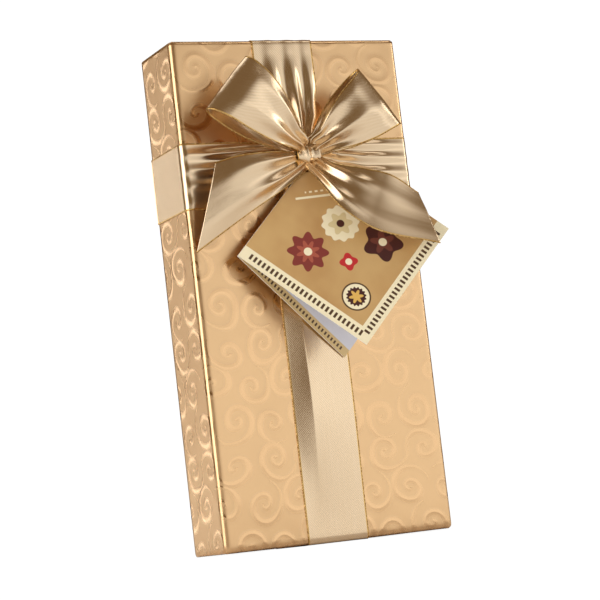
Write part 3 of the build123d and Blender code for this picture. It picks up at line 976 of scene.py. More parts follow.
@dataclass
class Wrapping:
    """Embossed paper: the jackets and ends of the lid and of the base. Its sizes are in metres."""

    paper: float = 0.0003
    edge_radius: float = 0.0018
    base_edge_radius: float = 0.0007
    low_rounding: Pair = (0.0007, 0.0017)
    top_rounding: Pair = (0.0007, 0.0008)
    cell: float = 0.001
    jacket_share: float = 0.8
    jacket_shift: Pair = (0.012, 0.004)
    end_share: float = 0.5
    base_end_level: float = 0.00012
    base_end_puff: float = 0.00004
    base_end_shift: Pair = (0.02, 0.01)
    front_flap_tip: float = 0.024
    front_flap_level: float = 0.00002
    back_flap_reach: float = 0.022
    back_flap_level: float = 0.0003
    back_flap_inset: float = 0.4
    flap_taper: float = 0.98
    flap_puff: float = 0.00022
    flap_puff_rate: float = 1.1
    flap_shift: Pair = (0.03, 0.02)
    tuck_reach: float = 0.02
    tuck_level: float = 0.0006
    tuck_cells: Tuple[int, int] = (28, 20)
    tuck_shift: Pair = (0.01, 0.03)

    def build(self) -> None:
        """Builds and dresses every piece of wrapping paper."""
        low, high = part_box("lid_wrap")
        self.jacket("lid_wrap_paper", low, high, self.edge_radius,
                    (self.low_rounding, self.top_rounding), -1, Body.LID, ["lid_wrap"])
        low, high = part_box("base_wrap")
        self.jacket("base_wrap_paper", low, high, self.base_edge_radius,
                    (self.top_rounding, self.top_rounding), 1, Body.BASE, ["base_wrap"])
        self.base_end("base_wrap_bottom_end", low, high, -1)
        self.base_end("base_wrap_top_end", low, high, 1)
        self.end_folds("end_folds_bottom", -1)
        self.end_folds("end_folds_top", 1)

    def jacket(self, name: str, low: Vector, high: Vector, radius: float, rounding: Tuple[Pair, Pair],
               facing: int, body: Body, nodes: Sequence[str]) -> None:
        """A jacket round one broad face and the two long sides.

        Args:
            name: the piece's name.
            low, high: corners of the space that it fills.
            radius: radius of its long edges.
            rounding: how far the paper turns in across and in depth, at its low end and at its top.
            facing: -1 for a broad face at the front, 1 for one at the back.
            body: what it rides on.
            nodes: the nodes that it stands for.
        """
        closed, open_side = (low.y, high.y) if facing < 0 else (high.y, low.y)
        start, stop = (low.x, high.x) if facing < 0 else (high.x, low.x)
        path = BentPath([(start, open_side), (start, closed), (stop, closed), (stop, open_side)],
                        (radius, radius))
        half = (high.x - low.x) / 2
        depth = abs(open_side - closed)
        low_turn, top_turn = max(rounding[0]), max(rounding[1])
        low_arc, top_arc = low_turn * math.pi / 2, top_turn * math.pi / 2
        whole = high.z - low.z - low_turn - top_turn + low_arc + top_arc

        def place(u: float, v: float) -> Vector:
            """Where shares round the path and up the jacket lie.

            Args:
                u: how far round the path, from 0 to 1.
                v: how far up the jacket, from 0 to 1.

            Returns:
                The point.
            """
            point, _ = path.at(u * path.length)
            run = v * whole
            inset, angle = rounding[0], 0.0
            z = low.z + low_turn + run - low_arc
            if run < low_arc:
                angle = (low_arc - run) / low_turn
                z = low.z + low_turn * (1 - math.sin(angle))
            elif run > whole - top_arc:
                inset, angle = rounding[1], (run - whole + top_arc) / top_turn
                z = high.z - top_turn * (1 - math.sin(angle))
            tuck = 1 - math.cos(angle)
            x = point[0] * (half - inset[0] * tuck) / half
            y = open_side + (point[1] - open_side) * (depth - inset[1] * tuck) / depth
            return Vector((x, y, z))

        columns, rows = round(path.length / self.cell), round(whole / self.cell)
        piece = grid_sheet(name, columns, rows, place, (path.length, whole), self.jacket_shift)
        thicken(piece, self.paper * self.jacket_share, -1.0)
        dress(piece, GOLD_PAPER, body, Slot.WRAP, nodes)

    def base_end(self, name: str, low: Vector, high: Vector, side: int) -> None:
        """Paper over one end of the base, between the turned edges of its jacket.

        Args:
            name: the piece's name.
            low, high: corners of the space that the base's paper fills.
            side: 1 for the top end, -1 for the bottom one.
        """
        inset = self.top_rounding
        outer = high.z if side > 0 else low.z
        left, right = low.x + inset[0], high.x - inset[0]
        front, back = low.y, high.y - inset[1]

        def place(u: float, v: float) -> Vector:
            """Where shares across and along the end lie.

            Args:
                u: how far across, from 0 to 1.
                v: how far along, from 0 to 1.

            Returns:
                The point.
            """
            puff = self.base_end_puff * math.sin(math.pi * u) * math.sin(math.pi * v)
            z = outer - side * (self.base_end_level - puff)
            return Vector((left + u * (right - left), front + v * (back - front), z))

        flat = (right - left, back - front)
        columns, rows = round(flat[0] / self.cell), round(flat[1] / self.cell)
        piece = grid_sheet(name, columns, rows, place, flat, self.base_end_shift)
        thicken(piece, self.paper * self.end_share)
        dress(piece, GOLD_PAPER, Body.BASE, Slot.WRAP)

    def end_folds(self, node: str, side: int) -> None:
        """Front flap, back flap and side tucks folded over one end of the lid.

        Args:
            node: the node that they stand for.
            side: 1 for the top end, -1 for the bottom one.
        """
        low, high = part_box(node)
        outer = high.z if side > 0 else low.z
        half = high.x
        inset = self.top_rounding if side > 0 else self.low_rounding
        front = low.y + inset[1] - self.paper
        back = high.y

        def flap(label: str, root: float, tip: float, root_half: float, level: float) -> bpy.types.Object:
            """A tapered flap.

            Args:
                label: the end of the piece's name.
                root: depth where the flap starts.
                tip: depth where it ends.
                root_half: half its width at its start.
                level: how far it lies inside the end of the lid.

            Returns:
                The flap.
            """
            way = 1 if tip > root else -1
            length = abs(tip - root)

            def place(u: float, v: float) -> Vector:
                """Where shares across and along the flap lie.

                Args:
                    u: how far across, from 0 to 1.
                    v: how far along, from 0 to 1.

                Returns:
                    The point.
                """
                reach = v * length
                x = (2 * u - 1) * (root_half - reach * self.flap_taper)
                run = min(v * self.flap_puff_rate, 1.0)
                puff = self.flap_puff * math.sin(math.pi * u) * math.sin(math.pi * run)
                return Vector((x, root + way * reach, outer - side * (level - puff)))

            flat = (2 * root_half, length)
            columns, rows = round(flat[0] / self.cell), max(round(length / self.cell), 2)
            return grid_sheet(f"{node}_{label}", columns, rows, place, flat, self.flap_shift)

        def tuck(label: str, way: int) -> bpy.types.Object:
            """A side tuck.

            Args:
                label: the end of the piece's name.
                way: -1 for the left side, 1 for the right one.

            Returns:
                The tuck.
            """
            wide = back - front

            def place(u: float, v: float) -> Vector:
                """Where shares across and along the tuck lie.

                Args:
                    u: how far across, from 0 to 1.
                    v: how far along, from 0 to 1.

                Returns:
                    The point.
                """
                x = way * (half - inset[0] - v * self.tuck_reach)
                y = (front + back) / 2 + (2 * u - 1) * wide / 2
                return Vector((x, y, outer - side * self.tuck_level))

            flat = (wide, self.tuck_reach)
            return grid_sheet(f"{node}_{label}", *self.tuck_cells, place, flat, self.tuck_shift)

        back_half = half - inset[0] * self.back_flap_inset
        pieces = [
            flap("front_flap", front, low.y + self.front_flap_tip, half - inset[0], self.front_flap_level),
            flap("back_flap", back, back - self.back_flap_reach, back_half, self.back_flap_level),
            tuck("left_tuck", -1),
            tuck("right_tuck", 1),
        ]
        for piece in pieces:
            thicken(piece, self.paper * self.end_share)
            dress(piece, GOLD_PAPER, Body.LID, Slot.WRAP, [node] if piece is pieces[0] else [])


@dataclass
class RibbonWork:
    """Shared sizes and builders of the 25 mm ribbon, in metres."""

    width: float = 0.025
    thickness: float = 0.00016
    thread: float = 0.00017
    stitch: float = 0.00045
    least_stitches: int = 4
    thread_swell: Pair = (0.75, 1.35)
    edge_reach: float = 1e-7

    def finish_sheet(self, sheet: bpy.types.Object, length: float, held: Held, body: Body,
                     nodes: Sequence[str], rests_on: Sequence[str]) -> None:
        """Thickens, edges and dresses one stretch of ribbon.

        Args:
            sheet: the stretch.
            length: its flat length, in metres; not used.
            held: how it is held; not used.
            body: what it rides on.
            nodes: the nodes that it stands for.
            rests_on: the pieces that it touches; not used.
        """
        edges = self.edge_threads(sheet)
        thicken(sheet, self.thickness)
        dress(sheet, RIBBON, body, Slot.RIBBON, nodes)
        dress(edges, THREAD, body, Slot.RIBBON)

    def edge_threads(self, sheet: bpy.types.Object) -> bpy.types.Object:
        """Overlocked gold threads along the sheet's two long edges.

        Args:
            sheet: the stretch of ribbon.

        Returns:
            One object that holds both threads.
        """
        data = sheet.data
        layer = data.uv_layers[UV_MAP].data
        uvs = {loop.vertex_index: layer[loop.index].uv.copy() for loop in data.loops}
        curve = bpy.data.curves.new(sheet.name + "_threads", "CURVE")
        curve.dimensions = "3D"
        curve.bevel_depth = self.thread
        curve.bevel_resolution = 1
        curve.resolution_u = 1
        for side in (0.0, self.width):
            line = sorted((uv[1], index) for index, uv in uvs.items() if abs(uv[0] - side) < self.edge_reach)
            points = np.array([data.vertices[index].co for _, index in line])
            steps = np.linalg.norm(np.diff(points, axis=0), axis=1)
            lengths = np.concatenate([[0.0], np.cumsum(steps)])
            count = max(int(lengths[-1] / self.stitch), self.least_stitches)
            spline = curve.splines.new("POLY")
            spline.points.add(count - 1)
            for index, spot in enumerate(np.linspace(0.0, lengths[-1], count)):
                place = [np.interp(spot, lengths, points[:, axis]) for axis in range(3)]
                spline.points[index].co = (*place, 1.0)
                spline.points[index].radius = self.thread_swell[index % 2]
        holder = add_object(curve.name, curve)
        depsgraph = bpy.context.evaluated_depsgraph_get()
        mesh = bpy.data.meshes.new_from_object(holder.evaluated_get(depsgraph))
        bpy.data.objects.remove(holder)
        mesh.name = sheet.name + "_threads"
        mesh.polygons.foreach_set("use_smooth", [True] * len(mesh.polygons))
        return add_object(sheet.name + "_threads", mesh)


def fold_wave(share: float, folds: float, phase: float, softness: float) -> float:
    """A pleat profile with broad valleys and crisp ridges.

    Args:
        share: how far across the ribbon, from 0 to 1.
        folds: how many pleats it has.
        phase: how far the ridges are shifted, in pleats.
        softness: how round the ridges are.

    Returns:
        The height, from 0 in the valleys to 1 on the ridges.
    """
    valley = math.sqrt(math.sin(math.pi * (folds * share + phase)) ** 2 + softness)
    return 1.0 - (valley - math.sqrt(softness)) / (math.sqrt(1 + softness) - math.sqrt(softness))


@dataclass
class BoxRibbon(RibbonWork):
    """The ribbon round the box: gathered runs on the lid and flat straps on the base, in metres."""

    clearance: float = 0.00004
    side_inset: float = 0.0002
    gather: float = 0.030
    crown: float = 0.0032
    lift: float = 0.0022
    radius: float = 0.0024
    end_radius: float = 0.0018
    top_radius: float = 0.0011
    corner_saving: float = 0.43
    upright_folds: float = 3.0
    upright_phases: Pair = (0.13, 0.42)
    upright_cells: Tuple[int, int] = (64, 300)
    level_folds: float = 4.0
    level_phases: Pair = (0.55, 0.3)
    level_cells: Tuple[int, int] = (64, 210)
    back_upright_cells: Tuple[int, int] = (32, 200)
    back_level_cells: Tuple[int, int] = (32, 100)
    crossing_lift: float = 0.0004
    crossing_run: float = 0.002
    fold_skew: float = 0.25
    fold_skew_rate: float = 5.0
    fold_drift: float = 0.12
    fold_softness: Pair = (0.02, 0.3)
    edge_level: float = 0.35
    edge_rate: float = 6.0
    crease_ridge: float = 0.28
    crease_fall: float = 0.55
    crease_power: float = 1.2
    crease: Shares = ((0.0, 0.0), (0.022, 0.0), (0.045, 0.0015), (0.07, 0.0016), (0.092, 0.0020), (0.14, 0.0))
    width_shares: Shares = ((0.0, 0.36), (0.17, 0.38), (0.35, 0.6), (0.6, 0.84), (1.0, 1.0))
    crown_shares: Shares = (
        (0.0, 0.45), (0.17, 0.6), (0.35, 1.0), (0.6, 0.85), (1.0, 0.45), (1.4, 0.12), (1.7, 0.0))
    drift_shares: Shares = ((0.0, 0.0), (0.35, 0.3), (0.6, 0.7), (1.0, 1.0))
    lift_shares: Shares = ((0.0, 1.0), (0.2, 1.0), (0.45, 0.4), (0.7, 0.0), (1.0, 0.0))

    def build(self) -> None:
        """Builds the four stretches."""
        self.upright()
        self.level()
        self.back_upright()
        self.back_level()

    @staticmethod
    def eased(shares: Shares, at: float) -> float:
        """Reads a table with smooth steps between its rows.

        Args:
            shares: rows of a place and the value there.
            at: the place to read, 0 or more.

        Returns:
            The value, which stays at the last row's beyond the table.
        """
        for (low, first), (high, second) in zip(shares, shares[1:]):
            if at <= high:
                t = max(at - low, 0) / (high - low)
                t = t * t * (3 - 2 * t)
                return first + (second - first) * t
        return shares[-1][1]

    def section(self, away: float, share: float, folds: float, phase: float) -> Pair:
        """One point of a gathered run's cross-section.

        Args:
            away: how far along the run the knot is, in metres.
            share: how far across the ribbon, from 0 to 1.
            folds: how many pleats it has.
            phase: how far the pleats are shifted.

        Returns:
            How far the point lies beside the run's middle, and how far it stands off.
        """
        at = abs(away) / self.gather
        width = self.width * self.eased(self.width_shares, at)
        crown = self.crown * self.eased(self.crown_shares, at)
        skewed = share ** (1.0 + self.fold_skew * math.sin(self.fold_skew_rate * phase))
        softness = self.fold_softness[0] + self.fold_softness[1] * at
        fold = fold_wave(skewed, folds, phase + self.fold_drift * at, softness)
        taper = min(1.0, self.edge_rate * min(share, 1 - share))
        return (share - 0.5) * width, crown * fold * (self.edge_level + (1 - self.edge_level) * taper)

    def upright(self) -> None:
        """The upright run up the lid's front, turned over both ends."""
        low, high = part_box("ribbon_vertical")
        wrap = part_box("lid_wrap")
        knot = box_middle("bow_knot")
        middle = box_middle("back_ribbon_vertical").x
        off = self.thickness / 2 + self.clearance
        front, top, bottom = wrap[0].y - off, high.z - off, low.z + off
        path = BentPath([(high.y, top), (front, top), (front, bottom), (high.y, bottom)],
                        (self.top_radius, self.end_radius))
        knot_at = (high.y - front) + (high.z - knot.z) - self.corner_saving * self.top_radius
        above, below = self.upright_phases
        ridge = self.crease_ridge

        def place(u: float, v: float) -> Vector:
            """Where shares across and along the run lie.

            Args:
                u: how far across, from 0 to 1.
                v: how far along, from 0 to 1.

            Returns:
                The point.
            """
            distance = v * path.length
            point, normal = path.at(distance)
            away = distance - knot_at
            side, rise = self.section(away, u, self.upright_folds, above if away < 0 else below)
            slope = u / ridge if u < ridge else 1 - self.crease_fall * (u - ridge) / (1 - ridge)
            rise += self.eased(self.crease, max(away, 0.0)) * slope ** self.crease_power
            drift = self.eased(self.drift_shares, abs(away) / self.gather)
            point = point + normal * rise
            return Vector((knot.x + drift * (middle - knot.x) + side, point[0], point[1]))

        sheet = grid_sheet("ribbon_upright", *self.upright_cells, place, (self.width, path.length))
        self.finish_sheet(sheet, path.length, Held.STRETCHED, Body.LID, ["ribbon_vertical"],
                          ["lid_wrap_paper", "end_folds_bottom_front_flap", "end_folds_top_front_flap"])

    def level(self) -> None:
        """The level run across the lid's front, turned over both sides."""
        low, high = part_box("ribbon_horizontal")
        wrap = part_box("lid_wrap")
        knot = box_middle("bow_knot")
        middle = box_middle("back_ribbon_horizontal").z
        front = wrap[0].y - (self.thickness / 2 + self.clearance)
        left, right = low.x + self.side_inset, high.x - self.side_inset
        path = BentPath([(left, high.y), (left, front), (right, front), (right, high.y)],
                        (self.radius, self.radius))
        knot_at = path.length / 2 + knot.x
        before, beyond = self.level_phases

        def place(u: float, v: float) -> Vector:
            """Where shares across and along the run lie.

            Args:
                u: how far across, from 0 to 1.
                v: how far along, from 0 to 1.

            Returns:
                The point.
            """
            distance = v * path.length
            point, normal = path.at(distance)
            away = distance - knot_at
            side, rise = self.section(away, u, self.level_folds, beyond if away > 0 else before)
            at = abs(away) / self.gather
            drift = self.eased(self.drift_shares, at)
            over = self.lift * self.eased(self.lift_shares, at)
            point = point + normal * (rise + over)
            return Vector((point[0], point[1], knot.z + drift * (middle - knot.z) + side))

        sheet = grid_sheet("ribbon_level", *self.level_cells, place, (self.width, path.length))
        self.finish_sheet(sheet, path.length, Held.STRETCHED, Body.LID, ["ribbon_horizontal"],
                          ["lid_wrap_paper"])

    def back_upright(self) -> None:
        """The upright strap down the back of the base."""
        low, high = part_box("back_ribbon_vertical")
        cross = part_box("back_ribbon_horizontal")
        length = high.z - low.z
        back = low.y + self.thickness / 2

        def place(u: float, v: float) -> Vector:
            """Where shares across and up the strap lie.

            Args:
                u: how far across, from 0 to 1.
                v: how far up, from 0 to 1.

            Returns:
                The point.
            """
            z = low.z + v * length
            near = max(cross[0].z - z, z - cross[1].z, 0.0)
            over = self.crossing_lift * max(0.0, 1 - near / self.crossing_run)
            return Vector((low.x + u * self.width, back + over, z))

        sheet = grid_sheet("back_ribbon_upright", *self.back_upright_cells, place, (self.width, length))
        self.finish_sheet(sheet, length, Held.STRETCHED, Body.BASE, ["back_ribbon_vertical"],
                          ["base_wrap_paper"])

    def back_level(self) -> None:
        """The level strap across the back of the base."""
        low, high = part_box("back_ribbon_horizontal")
        length = high.x - low.x
        back = low.y + self.thickness / 2

        def place(u: float, v: float) -> Vector:
            """Where shares across and along the strap lie."""
            return Vector((low.x + v * length, back, low.z + u * self.width))

        sheet = grid_sheet("back_ribbon_level", *self.back_level_cells, place, (self.width, length))
        self.finish_sheet(sheet, length, Held.STRETCHED, Body.BASE, ["back_ribbon_horizontal"],
                          ["base_wrap_paper"])


@dataclass
class Section:
    """One cross-section of a bow's ribbon: its two edge points, pleat height and arch, in millimetres."""

    low: Vector
    high: Vector
    pleat: float
    arch: float


@dataclass
class SectionSkin:
    """A smooth surface through a ribbon's sections."""

    sections: Sequence[Section]
    folds: float
    phase: float
    drift: float
    probe: float = 0.004
    side_probe: float = 0.25
    fold_softness: float = 0.02
    pleat_softness: float = 0.1
    least_pleat: float = 0.3
    fold_level: float = 0.45
    edge_rate: float = 5.0
    edge_level: float = 0.4
    side: float = field(init=False, default=1.0)
    rows: np.ndarray = field(init=False)
    at: np.ndarray = field(init=False)
    slopes: np.ndarray = field(init=False)

    def __post_init__(self) -> None:
        """Keeps the sections as arrays, measures how far apart they are and turns the pleats outward."""
        self.rows = np.array([[*part.low, *part.high, part.pleat, part.arch] for part in self.sections])
        middles = (self.rows[:, 0:3] + self.rows[:, 3:6]) / 2
        steps = np.linalg.norm(np.diff(middles, axis=0), axis=1)
        self.at = np.concatenate([[0.0], np.cumsum(steps)])
        self.slopes = np.gradient(self.rows, self.at, axis=0)
        if self.frame_at(self.side_probe)[2][1] > 0:
            self.side = -1.0

    @property
    def length(self) -> float:
        """Length along the middle, in millimetres."""
        return float(self.at[-1])

    def row(self, share: float) -> np.ndarray:
        """Reads the sections by cubic interpolation.

        Args:
            share: how far along, from 0 to 1.

        Returns:
            The two edge points, the pleat height and the arch there.
        """
        distance = share * self.length
        index = int(np.clip(np.searchsorted(self.at, distance) - 1, 0, len(self.at) - 2))
        span = self.at[index + 1] - self.at[index]
        t = (distance - self.at[index]) / span
        h00, h10 = 2 * t ** 3 - 3 * t ** 2 + 1, t ** 3 - 2 * t ** 2 + t
        h01, h11 = -2 * t ** 3 + 3 * t ** 2, t ** 3 - t ** 2
        return (h00 * self.rows[index] + h10 * span * self.slopes[index]
                + h01 * self.rows[index + 1] + h11 * span * self.slopes[index + 1])

    def frame_at(self, share: float) -> Tuple[np.ndarray, np.ndarray, np.ndarray, np.ndarray]:
        """Measures the section at a share of the length.

        Args:
            share: how far along, from 0 to 1.

        Returns:
            Its middle, its edge-to-edge vector, its normal and its row.
        """
        row = self.row(share)
        low, high = row[0:3], row[3:6]
        before, after = self.row(max(share - self.probe, 0.0)), self.row(min(share + self.probe, 1.0))
        way = after[0:3] + after[3:6] - before[0:3] - before[3:6]
        across = high - low
        normal = np.cross(way, across)
        return (low + high) / 2, across, self.side * normal / max(np.linalg.norm(normal), TINY), row

    def place(self, u: float, v: float) -> Vector:
        """Lays one point of the pleated surface.

        Args:
            u: how far across, from 0 to 1.
            v: how far along, from 0 to 1.

        Returns:
            The point, in metres.
        """
        middle, across, normal, row = self.frame_at(v)
        pleat, arch = row[6], row[7]
        softness = self.fold_softness + self.pleat_softness / max(pleat, self.least_pleat)
        fold = fold_wave(u, self.folds, self.phase + self.drift * v, softness) - self.fold_level
        edge = min(1.0, self.edge_rate * min(u, 1 - u))
        height = pleat * fold * (self.edge_level + (1 - self.edge_level) * edge)
        height += arch * (1 - (2 * u - 1) ** 2)
        return Vector(middle + across * (u - 0.5) + normal * height) * MM


@dataclass(frozen=True)
class TailShape:
    """How one tail hangs. Its rows are sections in ribbon widths from the knot."""

    node: str
    side: int
    out_share: float
    phase: float
    rows: Tuple[TailRow, ...]


@dataclass(frozen=True)
class LoopShape:
    """How one loop leaves the knot, in millimetres and degrees."""

    node: str
    side: int
    length: float
    angle: float
    turn: float
    bulge: float
    phase: float


@dataclass
class Bow(RibbonWork):
    """The bow's two loops, two tails and knot, in millimetres but for the ribbon's flat sizes."""

    size: float = 25.0
    pleat: float = 3.0
    folds: float = 2.0
    loop_root: float = 3.6
    root_lift: float = 1.8
    root_depth: float = 1.2
    root_shares: Pair = (0.78, 0.22)
    root_pleat: float = 0.5
    loop_drift: float = 0.25
    loop_cells: Tuple[int, int] = (60, 150)
    tail_root: Tuple[float, float, float, float] = (2.4, 3.7, 3.7, 0.2)
    tail_pleat: float = 0.4
    tail_drift: float = 0.3
    tail_cells: Tuple[int, int] = (60, 90)
    band_flat: Pair = (0.0125, 0.027)
    band_cells: Tuple[int, int] = (40, 72)
    band_phase: float = 0.3
    band_twist: float = 0.12
    band_softness: float = 0.03
    band_narrowing: float = 0.4
    band_pleat: float = 0.24
    band_flare: float = 0.06
    loops: Tuple[LoopShape, ...] = (
        LoopShape("bow_loop_left", -1, 42.9, 37.8, 5.0, 20.5, 0.31),
        LoopShape("bow_loop_right", 1, 35.8, 34.5, 0.9, 18.5, 0.05),
    )
    loop_rows: Tuple[Tuple[float, float, float, float, float], ...] = (
        (0.10, 0.62, 0.20, 0.80, 0.0),
        (0.24, 0.74, 0.40, 0.74, 0.4),
        (0.42, 0.90, 0.66, 0.46, 1.2),
        (0.62, 1.02, 0.86, 0.22, 1.8),
        (0.84, 1.08, 0.98, 0.09, 1.2),
        (0.96, 1.00, 1.04, 0.04, 0.5),
        (1.00, 0.84, 1.06, 0.04, 0.3),
        (0.95, 0.71, 1.04, 0.06, 0.2),
        (0.80, 0.60, 0.98, 0.14, 0.3),
        (0.60, 0.49, 0.84, 0.26, 0.3),
        (0.42, 0.41, 0.64, 0.40, 0.2),
        (0.24, 0.36, 0.40, 0.60, 0.0),
        (0.10, 0.33, 0.20, 0.60, 0.0),
    )
    tails: Tuple[TailShape, ...] = (
        TailShape("bow_tail_left", -1, 0.5, 0.2, (
            ((-0.46, 0.36, -0.51), (-0.39, 0.44, 0.04), 0.80, 0.5),
            ((-0.97, 0.36, -0.80), (-0.89, 0.52, 0.02), 0.34, 1.6),
            ((-1.41, 0.28, -1.07), (-1.23, 0.48, -0.01), 0.14, 2.0),
            ((-1.90, 0.16, -1.38), (-1.54, 0.40, -0.08), 0.05, 1.4),
        )),
        TailShape("bow_tail_right", 1, 0.58, 0.45, (
            ((0.00, 0.70, -0.50), (0.25, 0.68, -0.19), 0.62, 0.4),
            ((0.15, 0.97, -0.92), (0.59, 0.97, -0.35), 0.38, 0.5),
            ((0.54, 1.08, -1.26), (0.92, 1.07, -0.46), 0.16, 0.3),
            ((1.58, 1.27, -1.59), (1.42, 1.07, -0.78), 0.05, 0.3),
        )),
    )
    knot_low: Vector = field(init=False)
    knot_high: Vector = field(init=False)
    knot_z: float = field(init=False)
    front: float = field(init=False)

    def build(self) -> None:
        """Builds the bow's pieces."""
        low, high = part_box("bow_knot")
        self.knot_low, self.knot_high = low / MM, high / MM
        self.knot_z = (self.knot_low.z + self.knot_high.z) / 2
        self.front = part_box("lid_wrap")[0].y / MM
        for loop in self.loops:
            self.loop(loop)
        for tail in self.tails:
            self.tail(tail)
        self.knot()

    def depth(self, out_share: float) -> float:
        """The depth at a share of the way out through the knot, in millimetres."""
        return self.knot_high.y - out_share * (self.knot_high.y - self.knot_low.y)

    def root(self, side: int, out_share: float) -> Section:
        """A loop's root, a little inside the knot's flat side.

        Args:
            side: -1 for the left side, 1 for the right one.
            out_share: how far out through the knot it starts.

        Returns:
            The section.
        """
        x = (self.knot_low.x if side < 0 else self.knot_high.x) - side * self.root_depth
        y, z, half = self.depth(out_share), self.knot_z + self.root_lift, self.loop_root / 2
        return Section(Vector((x, y, z - half)), Vector((x, y, z + half)), self.root_pleat * self.pleat, 0.0)

    def loop(self, shape: LoopShape) -> None:
        """One loop, out from the knot to its fold and back.

        Args:
            shape: how it lies.
        """
        angle = math.radians(shape.angle)
        along = Vector((shape.side * math.cos(angle), 0, math.sin(angle)))
        leaving, coming_back = self.root_shares
        sections = [self.root(shape.side, leaving)]
        for distance, out, wide, pleat, arch in self.loop_rows:
            tilt = math.radians(shape.angle + distance * shape.turn)
            across = Vector((-shape.side * math.sin(tilt), 0, math.cos(tilt)))
            start = Vector((0, self.front - out * shape.bulge, self.knot_z))
            middle = start + along * (distance * shape.length)
            reach = across * (wide * self.size / 2)
            sections.append(Section(middle - reach, middle + reach, pleat * self.pleat, arch))
        sections.append(self.root(shape.side, coming_back))
        skin = SectionSkin(sections, self.folds, shape.phase, self.loop_drift)
        self.lay(shape.node, skin, self.loop_cells)

    def tail(self, shape: TailShape) -> None:
        """One tail, from the knot to its slanting cut end.

        Args:
            shape: how it hangs.
        """
        inner, below, outer, above = self.tail_root
        y = self.depth(shape.out_share)
        low = Vector((-shape.side * inner, y, self.knot_z - below))
        high = Vector((shape.side * outer, y, self.knot_z + above))
        sections = [Section(low, high, self.tail_pleat * self.pleat, 0.0)]
        for *points, pleat, arch in shape.rows:
            edges = [Vector((x * self.size, self.front - out * self.size, self.knot_z + z * self.size))
                     for x, out, z in points]
            sections.append(Section(*edges, pleat * self.pleat, arch))
        skin = SectionSkin(sections, self.folds, shape.phase, self.tail_drift)
        self.lay(shape.node, skin, self.tail_cells)

    def lay(self, node: str, skin: SectionSkin, cells: Tuple[int, int]) -> None:
        """Lays and finishes one gathered stretch.

        Args:
            node: the node that it stands for.
            skin: its surface.
            cells: faces across and along.
        """
        length = skin.length * MM
        sheet = grid_sheet(node + "_ribbon", *cells, skin.place, (self.width, length))
        self.finish_sheet(sheet, length, Held.GATHERED, Body.LID, [node], ["bow_knot_band"])

    def knot(self) -> None:
        """The band that draws the bow in: a folded ribbon turned once round the roots."""
        middle = (self.knot_low + self.knot_high) / 2
        half = (self.knot_high - self.knot_low) / 2

        def place(u: float, v: float) -> Vector:
            """Where shares across and round the band lie.

            Args:
                u: how far across, from 0 to 1.
                v: how far round, from 0 to 1.

            Returns:
                The point.
            """
            angle = 2 * math.pi * v
            out = Vector((0, math.cos(angle), math.sin(angle)))
            square = (abs(out.y) ** 3 + abs(out.z) ** 3) ** (1 / 3)
            phase = self.band_phase + self.band_twist * math.sin(angle)
            fold = fold_wave(u, self.folds, phase, self.band_softness)
            drawn = 1 - self.band_narrowing * abs(2 * u - 1) ** 4 - self.band_pleat * (1 - fold)
            x = middle.x + (2 * u - 1) * half.x * (1 + self.band_flare * math.cos(2 * angle))
            y = middle.y + half.y * out.y / square * drawn
            z = middle.z + half.z * out.z / square * drawn
            return Vector((x, y, z)) * MM

        sheet = grid_sheet("bow_knot_band", *self.band_cells, place, self.band_flat)
        mesh = bmesh.new()
        mesh.from_mesh(sheet.data)
        bmesh.ops.remove_doubles(mesh, verts=mesh.verts, dist=MERGE_DISTANCE)
        bmesh.ops.recalc_face_normals(mesh, faces=mesh.faces)
        mesh.to_mesh(sheet.data)
        mesh.free()
        thicken(sheet, self.thickness)
        dress(sheet, RIBBON, Body.LID, Slot.RIBBON, ["bow_knot"])


